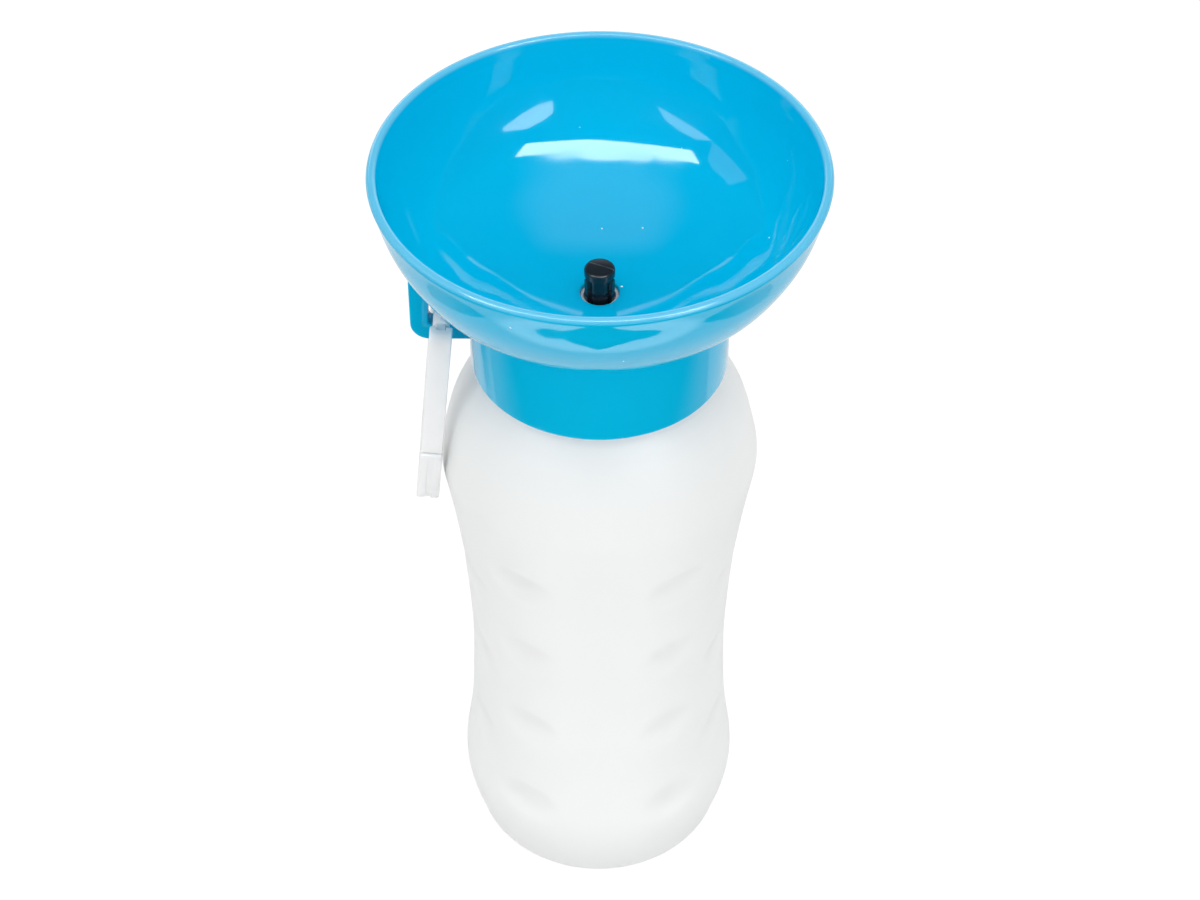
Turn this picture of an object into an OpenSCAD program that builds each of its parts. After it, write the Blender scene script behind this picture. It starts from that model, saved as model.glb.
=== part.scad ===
// Dog travel water bottle: a squeeze bottle with a drinking bowl screwed on its neck.
// Millimetres, +Z up, origin in the middle of the bottle's base. The hook hangs on the -X side.

/* [Bottle] */
// Height of the bottle's neck rim above the base
rim_z = 193.5; // [190:0.5:196]
// Radius of the base ring, up to where its round corner starts
foot_r = 32.2; // [30:0.2:33]
// Radius of the round corner between base and wall
foot_corner_r = 3.5; // [2:0.5:5]
// Radius of the belt above the base
heel_r = 38.9; // [37:0.1:40]
// Height of the belt above the base
heel_z = 18; // [14:1:24]
// Radius at the waist
waist_r = 35.6; // [34:0.1:37]
// Height of the waist
waist_z = 70.7; // [62:0.5:80]
// Radius at the shoulder
shoulder_r = 42.1; // [40:0.1:42.4]
// Height of the shoulder
shoulder_z = 141.5; // [136:0.5:143]
// Outer radius of the neck
neck_r = 27.4; // [27:0.1:28]
// Height of the neck, from its root on the shoulder to its rim
neck_h = 21.5; // [21:0.5:24]
// Wall thickness of the bottle
bottle_wall = 1.8; // [1.6:0.1:2.2]
// Height of the domed push-up in the base
pushup_h = 4; // [2:0.5:8]

/* [Finger grooves] */
// Radius of the round cut that makes a groove
groove_cut_r = 15; // [10:1:22]
// Depth of a groove
groove_depth = 1; // [0.4:0.1:1.2]
// Distance from one groove to the next above it
groove_pitch = 28.8; // [24:0.2:30]
// Height of the lowest groove
groove_z = 31.5; // [30:0.5:36]
// Turn of the front column of grooves from the front
groove_front_turn = 33.5; // [28:0.5:36]
// Turn of the side column of grooves from the front
groove_side_turn = 67; // [64:0.5:70]

/* [Thread] */
// Rise of the thread in one turn
thread_pitch = 4; // [3:0.25:4.5]
// Turns of each thread ridge
thread_turns = 1.5; // [1:0.25:1.75]
// Height of each thread ridge from its wall
thread_depth = 2; // [1.5:0.1:2.2]
// Gap between a ridge and the wall that it faces
thread_gap = 0.55; // [0.4:0.05:0.8]
// Distance from the rim down to where the neck's ridge starts
thread_drop = 11.5; // [10:0.5:13]

/* [Collar] */
// Thickness of the collar outside its thread
collar_wall = 3.45; // [3.25:0.05:4.25]
// Height of the collar
collar_h = 25.2; // [24:0.2:26.4]
// Height of the collar's top above the bottle's rim
collar_over_rim = 5.6; // [5:0.1:6.4]

/* [Bowl] */
// Outer radius at the rim
bowl_r = 57.2; // [54:0.2:60]
// Height of the bowl above the collar
bowl_h = 35.5; // [32:0.5:40]
// Overhang of the bowl's lower edge beyond the collar
bowl_overhang = 2.2; // [1.8:0.1:3.4]
// Wall thickness of the bowl
bowl_wall = 2; // [1.6:0.1:2.6]
// Width of the bowl's lip
lip_w = 2.4; // [2:0.1:3]
// Radius where the wall turns into the dished floor
bowl_floor_r = 44; // [42:0.5:46]
// Height of the floor beside the valve above the bottle's rim
floor_over_rim = 0.8; // [0.5:0.1:1.2]

/* [Valve] */
// Radius of the valve's head
head_r = 3.95; // [3.5:0.05:4.2]
// Height of the head above the floor when it is open, which is also its travel
valve_travel = 8.2; // [6:0.2:9]
// Thickness of the head
head_t = 2.3; // [1.8:0.1:3]
// Radius of the stem between its ribs
stem_core_r = 3.1; // [2.8:0.1:3.3]
// Width of a rib
stem_rib_w = 1.5; // [1:0.1:2]
// Number of ribs
stem_ribs = 3; // [3:1:4]
// Wall of the sleeve in the floor's hole
sleeve_wall = 0.75; // [0.6:0.05:1]
// Step from the ribs out to the wide foot of the stem
land_step = 1; // [0.9:0.05:1.3]
// Wall of the barrel in which the stem slides
barrel_wall = 1.85; // [1.6:0.05:2.1]
// Wall of the stem round its own bore
stem_wall = 1.2; // [1:0.1:1.5]
// Outer radius of the dip tube
dip_r = 3.5; // [3:0.1:4]
// Wall thickness of the dip tube
dip_wall = 1; // [0.6:0.1:1.4]
// Gap between the dip tube's end and the bottle's floor
dip_floor_gap = 4; // [3:0.5:10]

/* [Ear] */
// Reach of the ear beyond the collar
ear_out = 15.1; // [13.9:0.1:16.5]
// Thickness of the ear
ear_t = 5; // [4:0.2:6]
// Drop from the collar's top to the ear's lower edge
ear_drop = 18.9; // [18.3:0.1:20]
// Width of the ear's limbs
ear_limb = 4.7; // [4:0.1:5]
// Height of the ear's window
ear_hole_h = 10.3; // [9.4:0.1:10.8]

/* [Hook] */
// Length of the hook over everything
hook_len = 62.4; // [58:0.2:66]
// Width of the hook across its two legs
hook_w = 26.4; // [24:0.2:28]
// Thickness of the hook
hook_t = 6; // [5.8:0.1:6.4]
// Width of one leg, seen from the side
leg_w = 4.7; // [4.5:0.1:5]
// Length of the gate from the hinge pin to its tip
gate_len = 38; // [34:0.2:40]
// Thickness of the gate
gate_t = 5.8; // [5:0.1:6]
// Radius of the gate's hinge pin
pin_r = 1; // [0.8:0.05:1.2]
// Depth of the shallow groove along the hook's outer face
hook_groove_d = 0.5; // [0.2:0.1:0.8]

/* [Hidden] */
$fn = 96;
// Gap between pieces that are pressed or snapped together
fit_gap = 0.05;
// Gap between a sliding or turning round piece and its hole
run_gap = 0.06;
// Gap between pieces that rest against each other
rest_gap = 0.3;
// Overlap of solids that are joined in one piece
eps = 0.4;
bottle_colour = [0.93, 0.94, 0.94];
blue = [0.0, 0.68, 0.86];
black = [0.08, 0.12, 0.14];
white = [0.95, 0.95, 0.95];
pale = [0.85, 0.9, 0.93];
steel = [0.75, 0.76, 0.78];

// Curves
function lerp(a, b, t) = a + (b - a) * t;
function spline_at(p0, p1, p2, p3, t) =
    0.5 * (2 * p1 + (p2 - p0) * t + (2 * p0 - 5 * p1 + 4 * p2 - p3) * t * t
        + (3 * p1 - p0 - 3 * p2 + p3) * t * t * t);
// A smooth line through every point, with a number of steps between two points
function smooth(pts, steps) = let (n = len(pts)) concat(
    [for (i = [0:n - 2], s = [0:steps - 1])
        spline_at(pts[max(i - 1, 0)], pts[i], pts[i + 1], pts[min(i + 2, n - 1)], s / steps)],
    [pts[n - 1]]);
// Points on an arc round a centre, from one angle to another
function arc(c, r, a0, a1, steps) =
    [for (i = [0:steps]) c + r * [cos(lerp(a0, a1, i / steps)), sin(lerp(a0, a1, i / steps))]];
// The same line moved sideways by a distance, to the left of its direction
function moved(pts, d) = let (n = len(pts))
    [for (i = [0:n - 1]) let (t = pts[min(i + 1, n - 1)] - pts[max(i - 1, 0)])
        pts[i] + d * [-t[1], t[0]] / norm(t)];
function reversed(pts) = [for (i = [len(pts) - 1:-1:0]) pts[i]];

// Bottle
neck_root_z = rim_z - neck_h;
body_rise = shoulder_z - waist_z;
body_swell = shoulder_r - waist_r;
belt_swell = heel_r - waist_r;
// Outer line from above the base corner to the root of the neck
body_line = smooth([
    [foot_r + foot_corner_r, foot_corner_r],
    [lerp(foot_r + foot_corner_r, heel_r, 0.55), lerp(foot_corner_r, heel_z, 0.42)],
    [heel_r, heel_z],
    [waist_r + 0.5 * belt_swell, lerp(waist_z, heel_z, 0.675)],
    [waist_r + 0.13 * belt_swell, lerp(waist_z, heel_z, 0.34)],
    [waist_r, waist_z],
    [waist_r + 0.1 * body_swell, waist_z + 0.25 * body_rise],
    [waist_r + 0.3 * body_swell, waist_z + 0.5 * body_rise],
    [waist_r + 0.63 * body_swell, waist_z + 0.75 * body_rise],
    [waist_r + 0.9 * body_swell, waist_z + 0.91 * body_rise],
    [shoulder_r, shoulder_z],
    [lerp(neck_r, shoulder_r, 0.925), lerp(shoulder_z, neck_root_z, 0.2)],
    [lerp(neck_r, shoulder_r, 0.79), lerp(shoulder_z, neck_root_z, 0.46)],
    [lerp(neck_r, shoulder_r, 0.57), lerp(shoulder_z, neck_root_z, 0.68)],
    [lerp(neck_r, shoulder_r, 0.28), lerp(shoulder_z, neck_root_z, 0.87)],
    [neck_r, neck_root_z]], 4);
corner_line = arc([foot_r, foot_corner_r], foot_corner_r, -90, -10, 6);
outer_line = concat(corner_line, body_line, [[neck_r, rim_z]]);
floor_ring_w = 5;
inner_corner_r = foot_corner_r - bottle_wall;
inner_line = concat(
    arc([foot_r, foot_corner_r], inner_corner_r, -90, -10, 6),
    moved(body_line, bottle_wall),
    [[neck_r - bottle_wall, rim_z]]);
// Groove places: [turn from the front, height]
front_grooves = [for (side = [-1, 1], back = [0, 1], i = [0:3])
    [side * (back == 0 ? groove_front_turn : 180 - groove_front_turn), groove_z + i * groove_pitch]];
side_grooves = [for (side = [-1, 1], back = [0, 1], i = [0:2])
    [side * (back == 0 ? groove_side_turn : 180 - groove_side_turn), groove_z + (i + 0.5) * groove_pitch]];
grooves = concat(front_grooves, side_grooves);
groove_len = 30;
// Radius of a rising line of points at a height, and its height at a radius
function height_at(pts, r) = max([for (i = [0:len(pts) - 2])
    if (pts[i][0] <= r && pts[i + 1][0] > r)
        lerp(pts[i][1], pts[i + 1][1], (r - pts[i][0]) / (pts[i + 1][0] - pts[i][0]))]);
function radius_at(pts, z) = max([for (i = [0:len(pts) - 2])
    if (pts[i][1] <= z && pts[i + 1][1] > z)
        lerp(pts[i][0], pts[i + 1][0], (z - pts[i][1]) / (pts[i + 1][1] - pts[i][1]))]);

// Thread
thread_base_w = 0.62 * thread_pitch;
thread_crest_w = 0.26 * thread_pitch;
thread_z = rim_z - thread_drop;
thread_steps = 36;

// Collar and bowl joint
collar_bore_r = neck_r + thread_depth + thread_gap;
collar_r = collar_bore_r + collar_wall;
collar_top_z = rim_z + collar_over_rim;
collar_z = collar_top_z - collar_h;
collar_edge = 0.5;
gasket_t = 1.5;
gasket_z = rim_z;
seat_z = gasket_z + gasket_t;
// Wall of the collar outside the skirt that hangs under the bowl, and the skirt's own wall
collar_shell = 2;
skirt_w = 2.4;
skirt_lap = 0.9;
skirt_r = collar_r - collar_shell;
skirt_z = seat_z - skirt_lap;
gasket_r = skirt_r - skirt_w - fit_gap;
gasket_in_r = neck_r - bottle_wall - 1;
seat_in_r = gasket_in_r - 3;

// Bowl lines
bowl_foot_r = collar_r + bowl_overhang;
bowl_top_z = collar_top_z + bowl_h;
bowl_floor_z = rim_z + floor_over_rim;
// A point of the bowl's outside, as shares of its reach and height
function side_at(a, b) = [lerp(bowl_foot_r, bowl_r, a), lerp(collar_top_z, bowl_top_z, b)];
bowl_outer = smooth([side_at(0, 0), side_at(0.18, 0.1), side_at(0.38, 0.215), side_at(0.58, 0.35),
    side_at(0.735, 0.5), side_at(0.85, 0.65), side_at(0.925, 0.8), side_at(0.97, 0.91), side_at(1, 0.97)], 4);
lip_round = 0.9;
lip_start = 20;
lip_in_round = 0.6;
bowl_lip = arc([bowl_r - lip_round, bowl_top_z - lip_round], lip_round, lip_start, 90, 4);
inner_lip = arc([bowl_r - lip_w + lip_in_round, bowl_top_z - lip_in_round], lip_in_round, 90, 180, 4);
// The inner wall follows the outside, from below the lip to the turn into the floor
wall_line = moved(bowl_outer, bowl_wall);
bowl_inner = reversed([for (p = wall_line) if (p[0] > bowl_floor_r + 0.3 && p[1] < bowl_top_z - 2) p]);
bowl_floor_edge_z = height_at(wall_line, bowl_floor_r);
// The sleeve in the floor's hole is what the hole is made for
rib_r = head_r + 0.15;
sleeve_bore_r = rib_r + run_gap;
sleeve_r = sleeve_bore_r + sleeve_wall;
floor_hole_r = sleeve_r + fit_gap;
function dish_at(a, b) =
    [lerp(floor_hole_r, bowl_floor_r, a), lerp(bowl_floor_z, bowl_floor_edge_z, b)];
bowl_dish = smooth([dish_at(1, 1), dish_at(0.93, 0.855), dish_at(0.78, 0.585), dish_at(0.62, 0.365),
    dish_at(0.42, 0.155), dish_at(0.2, 0.035), dish_at(0.012, 0)], 4);
floor_t = 2;
floor_under_z = bowl_floor_z - floor_t;

// Valve
head_top_z = bowl_floor_z + valve_travel;
rib_top_z = head_top_z - head_t;
sleeve_top_z = bowl_floor_z - 1;
flange_t = 1.45;
flange_z = bowl_floor_z - 5.4;
barrel_bore_r = rib_r + land_step;
barrel_r = barrel_bore_r + barrel_wall;
barrel_top_z = flange_z;
// Boss under the floor, in which the barrel is pressed
boss_wall = 1.6;
boss_h = 11.3;
boss_r = barrel_r + boss_wall;
boss_z = bowl_floor_z - boss_h;
land_r = barrel_bore_r - run_gap;
land_top_z = flange_z - 0.1;
land_t = 1.4;
o_ring_wire_r = 0.7;
o_ring_groove_h = 2 * o_ring_wire_r + 0.2;
o_ring_r = barrel_bore_r - run_gap - o_ring_wire_r;
o_ring_z = land_top_z - land_t - o_ring_groove_h / 2;
groove_floor_r = o_ring_r - o_ring_wire_r - fit_gap;
stem_bottom_z = o_ring_z - o_ring_groove_h / 2 - land_t;
stem_bore_r = stem_core_r - stem_wall;
port_r = 0.9;
port_z = flange_z + 1.4;
plug_h = 1.4;
barrel_bottom_z = stem_bottom_z - valve_travel - rest_gap - plug_h;
cap_flange_t = 1.5;
socket_len = 8;
socket_wall = 1.6;
cap_bottom_z = barrel_bottom_z - cap_flange_t - socket_len;
dip_top_z = barrel_bottom_z - cap_flange_t;
dip_bottom_z = pushup_h + bottle_wall + dip_floor_gap;
dip_port_r = 1.5;

// Ear and hook places
ear_reach = collar_r + ear_out;
ear_z = collar_top_z - ear_drop;
ear_hole_z = ear_z + ear_limb;
ear_hole_top_z = ear_hole_z + ear_hole_h;
ear_top_z = collar_top_z + 2.9;
ear_corner_r = 5;
ear_top_corner_r = 3;
ear_hole_corner_r = 1.6;
ear_hole_root = 1.2;
ear_root_r = collar_r - 1;
// The round bar that hangs in the ear, and its play against the ear's outer limb
hook_bar_r = leg_w / 2 - 0.15;
hook_play = 1.3;
hook_x = -ear_reach + ear_limb + hook_bar_r + hook_play;
hook_z = ear_hole_z + rest_gap + hook_bar_r;

// Hook outline, in its own plane: [across, up], with the round bar's axis at the origin
half_w = hook_w / 2;
hook_top = leg_w / 2;
hook_bottom = hook_top - hook_len;
// Where the round bar ends and the back leg starts, on the ear's far side
bar_shoulder = ear_t / 2 + 2.5;
back_corner_r = half_w - bar_shoulder - 0.2;
foot_bend_r = 10;
knuckle_r = 2.9;
gate_face = -half_w + 0.8;
pin_at = [gate_face + knuckle_r, hook_top - knuckle_r];
tip_z = pin_at[1] - gate_len;
lap_len = 2.6;
hook_groove_w = 1.6;
leg_in = half_w - leg_w;
tongue_t = 2.2;
tongue_r = knuckle_r - 0.6;
cheek_gap = 0.15;
gate_web = 1.3;
gate_in = gate_face + leg_w - 0.3;
slot_w = tongue_t + 2 * cheek_gap;
spring_r = 0.95;
spring_wire_r = 0.2;
spring_turns = 8;
spring_len = 9;
spring_y = gate_face + gate_web + spring_r + spring_wire_r + 0.15;
spring_top = pin_at[1] - 4.6;
// The hook leans on the bottle's shoulder: the steepest lean that any height of the wall asks for,
// at the inner edges of the hook's legs and, down to the gate's tip, in the middle where the gate opens
function lean_for(reach, z, t) = atan((reach + rest_gap + t / 2 + hook_x) / (hook_z - z));
hook_lean = max([for (p = body_line) if (p[1] > hook_z - hook_len && p[1] < hook_z - leg_w - 10)
    max(lean_for(sqrt(pow(p[0], 2) - pow(leg_in, 2)), p[1], hook_t),
        p[1] > hook_z - gate_len - lap_len ? lean_for(p[0], p[1], gate_t) : 0)]);

// A ridge that climbs round the axis: r0 is its root radius, r1 its crest radius
module helix_ridge(r0, r1, z0, turns) {
    n = round(turns * thread_steps);
    function sink(i) = min(1, min(i, n - i) / 4);
    pts = [for (i = [0:n]) let (
            a = 360 * i / thread_steps,
            z = z0 + thread_pitch * i / thread_steps,
            rc = lerp(r0 + 0.1 * sign(r1 - r0), r1, sink(i)))
        for (q = [[r0, -thread_base_w / 2], [rc, -thread_crest_w / 2], [rc, thread_crest_w / 2],
                [r0, thread_base_w / 2]])
            [q[0] * cos(a), q[0] * sin(a), z + q[1]]];
    flip = r1 > r0;
    function face(f) = flip ? f : reversed(f);
    sides = [for (i = [0:n - 1], k = [0:3]) let (m = (k + 1) % 4)
        for (f = [[4 * i + k, 4 * i + m, 4 * i + 4 + m], [4 * i + k, 4 * i + 4 + m, 4 * i + 4 + k]]) face(f)];
    polyhedron(pts, concat(sides, [face([3, 2, 1, 0]), face([4 * n, 4 * n + 1, 4 * n + 2, 4 * n + 3])]));
}

module bottle() {
    color(bottle_colour) union() {
        difference() {
            rotate_extrude() polygon(concat([[0, pushup_h], [foot_r - floor_ring_w, 0]], outer_line,
                reversed(inner_line), [[foot_r - floor_ring_w, bottle_wall], [0, pushup_h + bottle_wall]]));
            for (g = grooves) groove_cut(g[0], g[1]);
        }
        helix_ridge(neck_r - eps, neck_r + thread_depth, thread_z, thread_turns);
    }
}

// One finger groove: a round bar laid across the wall, deepest at its middle
module groove_cut(turn, z) {
    rotate([0, 0, turn]) translate([0, -(radius_at(body_line, z) - groove_depth + groove_cut_r), z])
        rotate([0, 90, 0]) cylinder(r = groove_cut_r, h = groove_len, center = true);
}

module neck_gasket() {
    color(pale) rotate_extrude()
        translate([gasket_in_r, gasket_z]) square([gasket_r - gasket_in_r, gasket_t]);
}

module collar() {
    color(blue) union() {
        rotate_extrude() polygon([
            [collar_bore_r, collar_z + collar_edge], [collar_bore_r + collar_edge, collar_z],
            [collar_r - collar_edge, collar_z], [collar_r, collar_z + collar_edge],
            [collar_r, collar_top_z], [skirt_r + fit_gap, collar_top_z],
            [skirt_r + fit_gap, skirt_z - fit_gap], [collar_bore_r, skirt_z - fit_gap]]);
        helix_ridge(collar_bore_r + eps, neck_r + thread_gap, thread_z - thread_pitch / 2, thread_turns);
        ear();
    }
}

// Plate that stands out from the collar, with the window that the hook hangs in
module ear() {
    low_arc = arc([-ear_reach + ear_corner_r, ear_z + ear_corner_r], ear_corner_r, 180, 270, 8);
    top_arc = arc([-ear_reach + ear_top_corner_r, ear_top_z - ear_top_corner_r], ear_top_corner_r, 90, 180, 6);
    hole_l = -ear_reach + ear_limb;
    hole_r = -collar_r - ear_hole_root;
    c = ear_hole_corner_r;
    translate([0, ear_t / 2, 0]) rotate([90, 0, 0]) linear_extrude(ear_t) difference() {
        polygon(concat(low_arc, [[-ear_root_r, ear_z], [-ear_root_r, collar_top_z - 0.4],
            [-bowl_foot_r - rest_gap, collar_top_z - 0.4],
            [-radius_at(bowl_outer, ear_top_z) - rest_gap, ear_top_z]], top_arc));
        polygon(concat(arc([hole_l + c, ear_hole_z + c], c, 180, 270, 5),
            arc([hole_r - c, ear_hole_z + c], c, 270, 360, 5),
            arc([hole_r - c, ear_hole_top_z - c], c, 0, 90, 5),
            arc([hole_l + c, ear_hole_top_z - c], c, 90, 180, 5)));
    }
}

module bowl() {
    color(blue) rotate_extrude() polygon(concat(
        bowl_outer, bowl_lip, inner_lip, bowl_inner, bowl_dish,
        [[floor_hole_r, bowl_floor_z - 0.3], [floor_hole_r, flange_z + flange_t + fit_gap],
        [barrel_r + fit_gap, flange_z + flange_t + fit_gap], [barrel_r + fit_gap, boss_z], [boss_r, boss_z],
        [boss_r, floor_under_z - 0.6], [boss_r + 1.5, floor_under_z],
        [seat_in_r, seat_z], [skirt_r - skirt_w, seat_z], [skirt_r - skirt_w, skirt_z],
        [skirt_r, skirt_z], [skirt_r, collar_top_z]]));
}

module valve_seat() {
    color(pale) rotate_extrude() polygon([
        [sleeve_bore_r, flange_z], [barrel_r, flange_z], [barrel_r, flange_z + flange_t],
        [sleeve_r, flange_z + flange_t], [sleeve_r, sleeve_top_z], [sleeve_bore_r, sleeve_top_z]]);
}

module valve_housing() {
    color(white) rotate_extrude() polygon([
        [barrel_bore_r, barrel_top_z - fit_gap], [barrel_r, barrel_top_z - fit_gap], [barrel_r, boss_z - fit_gap],
        [boss_r, boss_z - fit_gap], [boss_r, boss_z - 1.5], [barrel_r, boss_z - 2.6],
        [barrel_r, barrel_bottom_z], [barrel_bore_r, barrel_bottom_z]]);
}

module housing_cap() {
    socket_bore_r = dip_r + fit_gap;
    color(white) rotate_extrude() polygon([
        [stem_bore_r, dip_top_z + fit_gap], [socket_bore_r, dip_top_z + fit_gap], [socket_bore_r, cap_bottom_z],
        [socket_bore_r + socket_wall, cap_bottom_z], [socket_bore_r + socket_wall, dip_top_z],
        [barrel_r, dip_top_z], [barrel_r, barrel_bottom_z - fit_gap],
        [barrel_bore_r - fit_gap, barrel_bottom_z - fit_gap], [barrel_bore_r - fit_gap, barrel_bottom_z + plug_h],
        [stem_bore_r, barrel_bottom_z + plug_h]]);
}

module dip_tube() {
    color(pale) difference() {
        translate([0, 0, dip_bottom_z]) cylinder(r = dip_r, h = dip_top_z - dip_bottom_z);
        translate([0, 0, dip_bottom_z - 1]) cylinder(r = dip_r - dip_wall, h = dip_top_z - dip_bottom_z + 2);
        translate([0, 0, dip_bottom_z]) rotate([0, 90, 0]) cylinder(r = dip_port_r, h = 4 * dip_r, center = true);
    }
}

module valve_stem() {
    color(black) difference() {
        union() {
            rotate_extrude() polygon(concat(
                [[0, stem_bottom_z], [land_r, stem_bottom_z], [land_r, stem_bottom_z + land_t],
                [groove_floor_r, stem_bottom_z + land_t],
                [groove_floor_r, stem_bottom_z + land_t + o_ring_groove_h],
                [land_r, stem_bottom_z + land_t + o_ring_groove_h], [land_r, land_top_z],
                [stem_core_r, land_top_z], [stem_core_r, rib_top_z - 0.3], [head_r, rib_top_z]],
                arc([head_r - 0.7, head_top_z - 0.7], 0.7, 0, 90, 5), [[0, head_top_z]]));
            for (i = [0:stem_ribs - 1]) rotate([0, 0, 90 + i * 360 / stem_ribs]) stem_rib();
        }
        translate([0, 0, stem_bottom_z - 1]) cylinder(r = stem_bore_r, h = port_z + port_r - stem_bottom_z + 1);
        for (i = [0:stem_ribs - 1]) rotate([0, 0, 90 + (i + 0.5) * 360 / stem_ribs])
            translate([0, 0, port_z]) rotate([0, 90, 0]) cylinder(r = port_r, h = 2 * head_r, $fn = 32);
    }
}

// One rib with a round top, standing along +X
module stem_rib() {
    round_z = rib_top_z - stem_rib_w / 2;
    intersection() {
        translate([0, 0, land_top_z - 1]) cylinder(r = rib_r, h = rib_top_z - land_top_z + 2);
        rotate([90, 0, 90]) translate([0, 0, stem_core_r - 1]) linear_extrude(rib_r)
            polygon(concat([[-stem_rib_w / 2, land_top_z - 0.5], [stem_rib_w / 2, land_top_z - 0.5]],
                arc([0, round_z], stem_rib_w / 2, 0, 180, 8)));
    }
}

module stem_o_ring() {
    color(black) translate([0, 0, o_ring_z]) rotate_extrude() translate([o_ring_r, 0])
        circle(r = o_ring_wire_r, $fn = 32);
}

// Puts the hook's own plane in its place on the ear
module hook_place() {
    translate([hook_x, 0, hook_z]) rotate([0, hook_lean, 0]) children();
}

// Extrudes an outline of the hook's plane to a thickness
module slab(t) {
    rotate([90, 0, 90]) translate([0, 0, -t / 2]) linear_extrude(t) children();
}

module hook_body() {
    outer = concat(
        arc([half_w - back_corner_r, hook_top - back_corner_r], back_corner_r, 0, 90, 8),
        [[bar_shoulder, hook_top], [bar_shoulder, hook_top - leg_w]],
        arc([half_w - back_corner_r, hook_top - back_corner_r], back_corner_r - leg_w, 90, 0, 6),
        arc([leg_in - foot_bend_r + leg_w, hook_bottom + foot_bend_r], foot_bend_r - leg_w, 0, -90, 8),
        arc([-leg_in + foot_bend_r - leg_w, hook_bottom + foot_bend_r], foot_bend_r - leg_w, -90, -180, 8),
        [[-leg_in, tip_z - lap_len], [-half_w + 2.1, tip_z - lap_len], [-half_w + 2.1, tip_z - 0.3],
        [-half_w + 0.5, tip_z - 0.3], [-half_w, tip_z - 0.8]],
        arc([-half_w + foot_bend_r, hook_bottom + foot_bend_r], foot_bend_r, 180, 270, 8),
        arc([half_w - foot_bend_r, hook_bottom + foot_bend_r], foot_bend_r, 270, 360, 8));
    bar_end = pin_at[0] + knuckle_r + rest_gap;
    color(white) hook_place() union() {
        difference() {
            slab(hook_t) polygon(outer);
            slab(hook_groove_w) difference() {
                square([2 * hook_w, 3 * hook_len], center = true);
                outline_inside(hook_groove_d);
            }
        }
        // Round bar that lies in the ear
        rotate([-90, 0, 0]) translate([0, 0, bar_end + 0.2])
            cylinder(r = hook_bar_r, h = bar_shoulder + 1 - bar_end);
        // Tongue between the gate's cheeks
        difference() {
            slab(tongue_t) union() {
                translate(pin_at) circle(r = tongue_r, $fn = 48);
                polygon([[pin_at[0], hook_top - 1], [bar_end + 2, hook_top - 1],
                    [bar_end + 2, 0.8 - hook_bar_r], [pin_at[0], pin_at[1] - tongue_r + 0.3]]);
            }
            translate([0, pin_at[0], pin_at[1]]) rotate([0, 90, 0])
                cylinder(r = pin_r + fit_gap, h = hook_t, center = true, $fn = 48);
        }
    }
}

// The hook's outline, drawn in by a distance where its shallow groove runs
module outline_inside(d) {
    polygon(concat(
        arc([half_w - back_corner_r, hook_top - back_corner_r], back_corner_r - d, 0, 90, 8),
        arc([-half_w + foot_bend_r, hook_top - foot_bend_r], foot_bend_r - d, 90, 180, 8),
        arc([-half_w + foot_bend_r, hook_bottom + foot_bend_r], foot_bend_r - d, 180, 270, 8),
        arc([half_w - foot_bend_r, hook_bottom + foot_bend_r], foot_bend_r - d, 270, 360, 8)));
}

module gate_pin() {
    color(steel) hook_place() translate([0, pin_at[0], pin_at[1]]) rotate([0, 90, 0])
        cylinder(r = pin_r, h = gate_t - 0.2, center = true, $fn = 48);
}

module hook_gate() {
    color(white) hook_place() difference() {
        slab(gate_t) union() {
            translate(pin_at) circle(r = knuckle_r);
            polygon([[gate_face, pin_at[1]], [gate_face, tip_z], [gate_face + 2.2, tip_z],
                [gate_face + 2.2, tip_z - lap_len + 0.5], [gate_in, tip_z - lap_len + 0.5],
                [gate_in, pin_at[1] - 2], [pin_at[0] + knuckle_r - 0.4, pin_at[1]]]);
        }
        // Slot for the tongue and the spring
        slab(slot_w) union() {
            translate(pin_at) circle(r = tongue_r + cheek_gap, $fn = 48);
            polygon([[pin_at[0], hook_top + 1], [pin_at[0] + 2 * knuckle_r, hook_top + 1],
                [pin_at[0] + 2 * knuckle_r, tip_z + 5], [gate_face + gate_web, tip_z + 5],
                [gate_face + gate_web, pin_at[1] - 2], [pin_at[0], pin_at[1]]]);
        }
        translate([0, pin_at[0], pin_at[1]]) rotate([0, 90, 0])
            cylinder(r = pin_r + run_gap, h = 2 * hook_t, center = true, $fn = 48);
    }
}

module gate_spring() {
    rings = 8 * spring_turns;
    sides = 6;
    function at(i, k) = let (a = 360 * i / 8, b = 360 * k / sides, r = spring_r + spring_wire_r * cos(b))
        [r * cos(a), r * sin(a), spring_wire_r * sin(b) - spring_len * i / rings];
    pts = [for (i = [0:rings], k = [0:sides - 1]) at(i, k)];
    skin = [for (i = [0:rings - 1], k = [0:sides - 1]) let (m = (k + 1) % sides, a = sides * i, b = a + sides)
        for (f = [[a + k, a + m, b + m], [a + k, b + m, b + k]]) f];
    ends = [[for (k = [0:sides - 1]) sides - 1 - k], [for (k = [0:sides - 1]) sides * rings + k]];
    color(steel) hook_place() translate([0, spring_y, spring_top]) polyhedron(pts, concat(skin, ends));
}

bottle();
neck_gasket();
collar();
bowl();
valve_seat();
valve_housing();
housing_cap();
dip_tube();
valve_stem();
stem_o_ring();
hook_body();
gate_pin();
gate_spring();
hook_gate();
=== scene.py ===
"""Looks of a dog travel water bottle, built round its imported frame.

The bottle stands on the floor with its axis along +Z, and the hook hangs on the -X side. Sizes in
the classes are millimetres, as a maker's drawing gives them, and every mesh is made in metres.
"""

import logging
import math
from dataclasses import dataclass, field
from enum import Enum

import bmesh
import bpy
import numpy as np
from mathutils import Matrix, Vector


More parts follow.
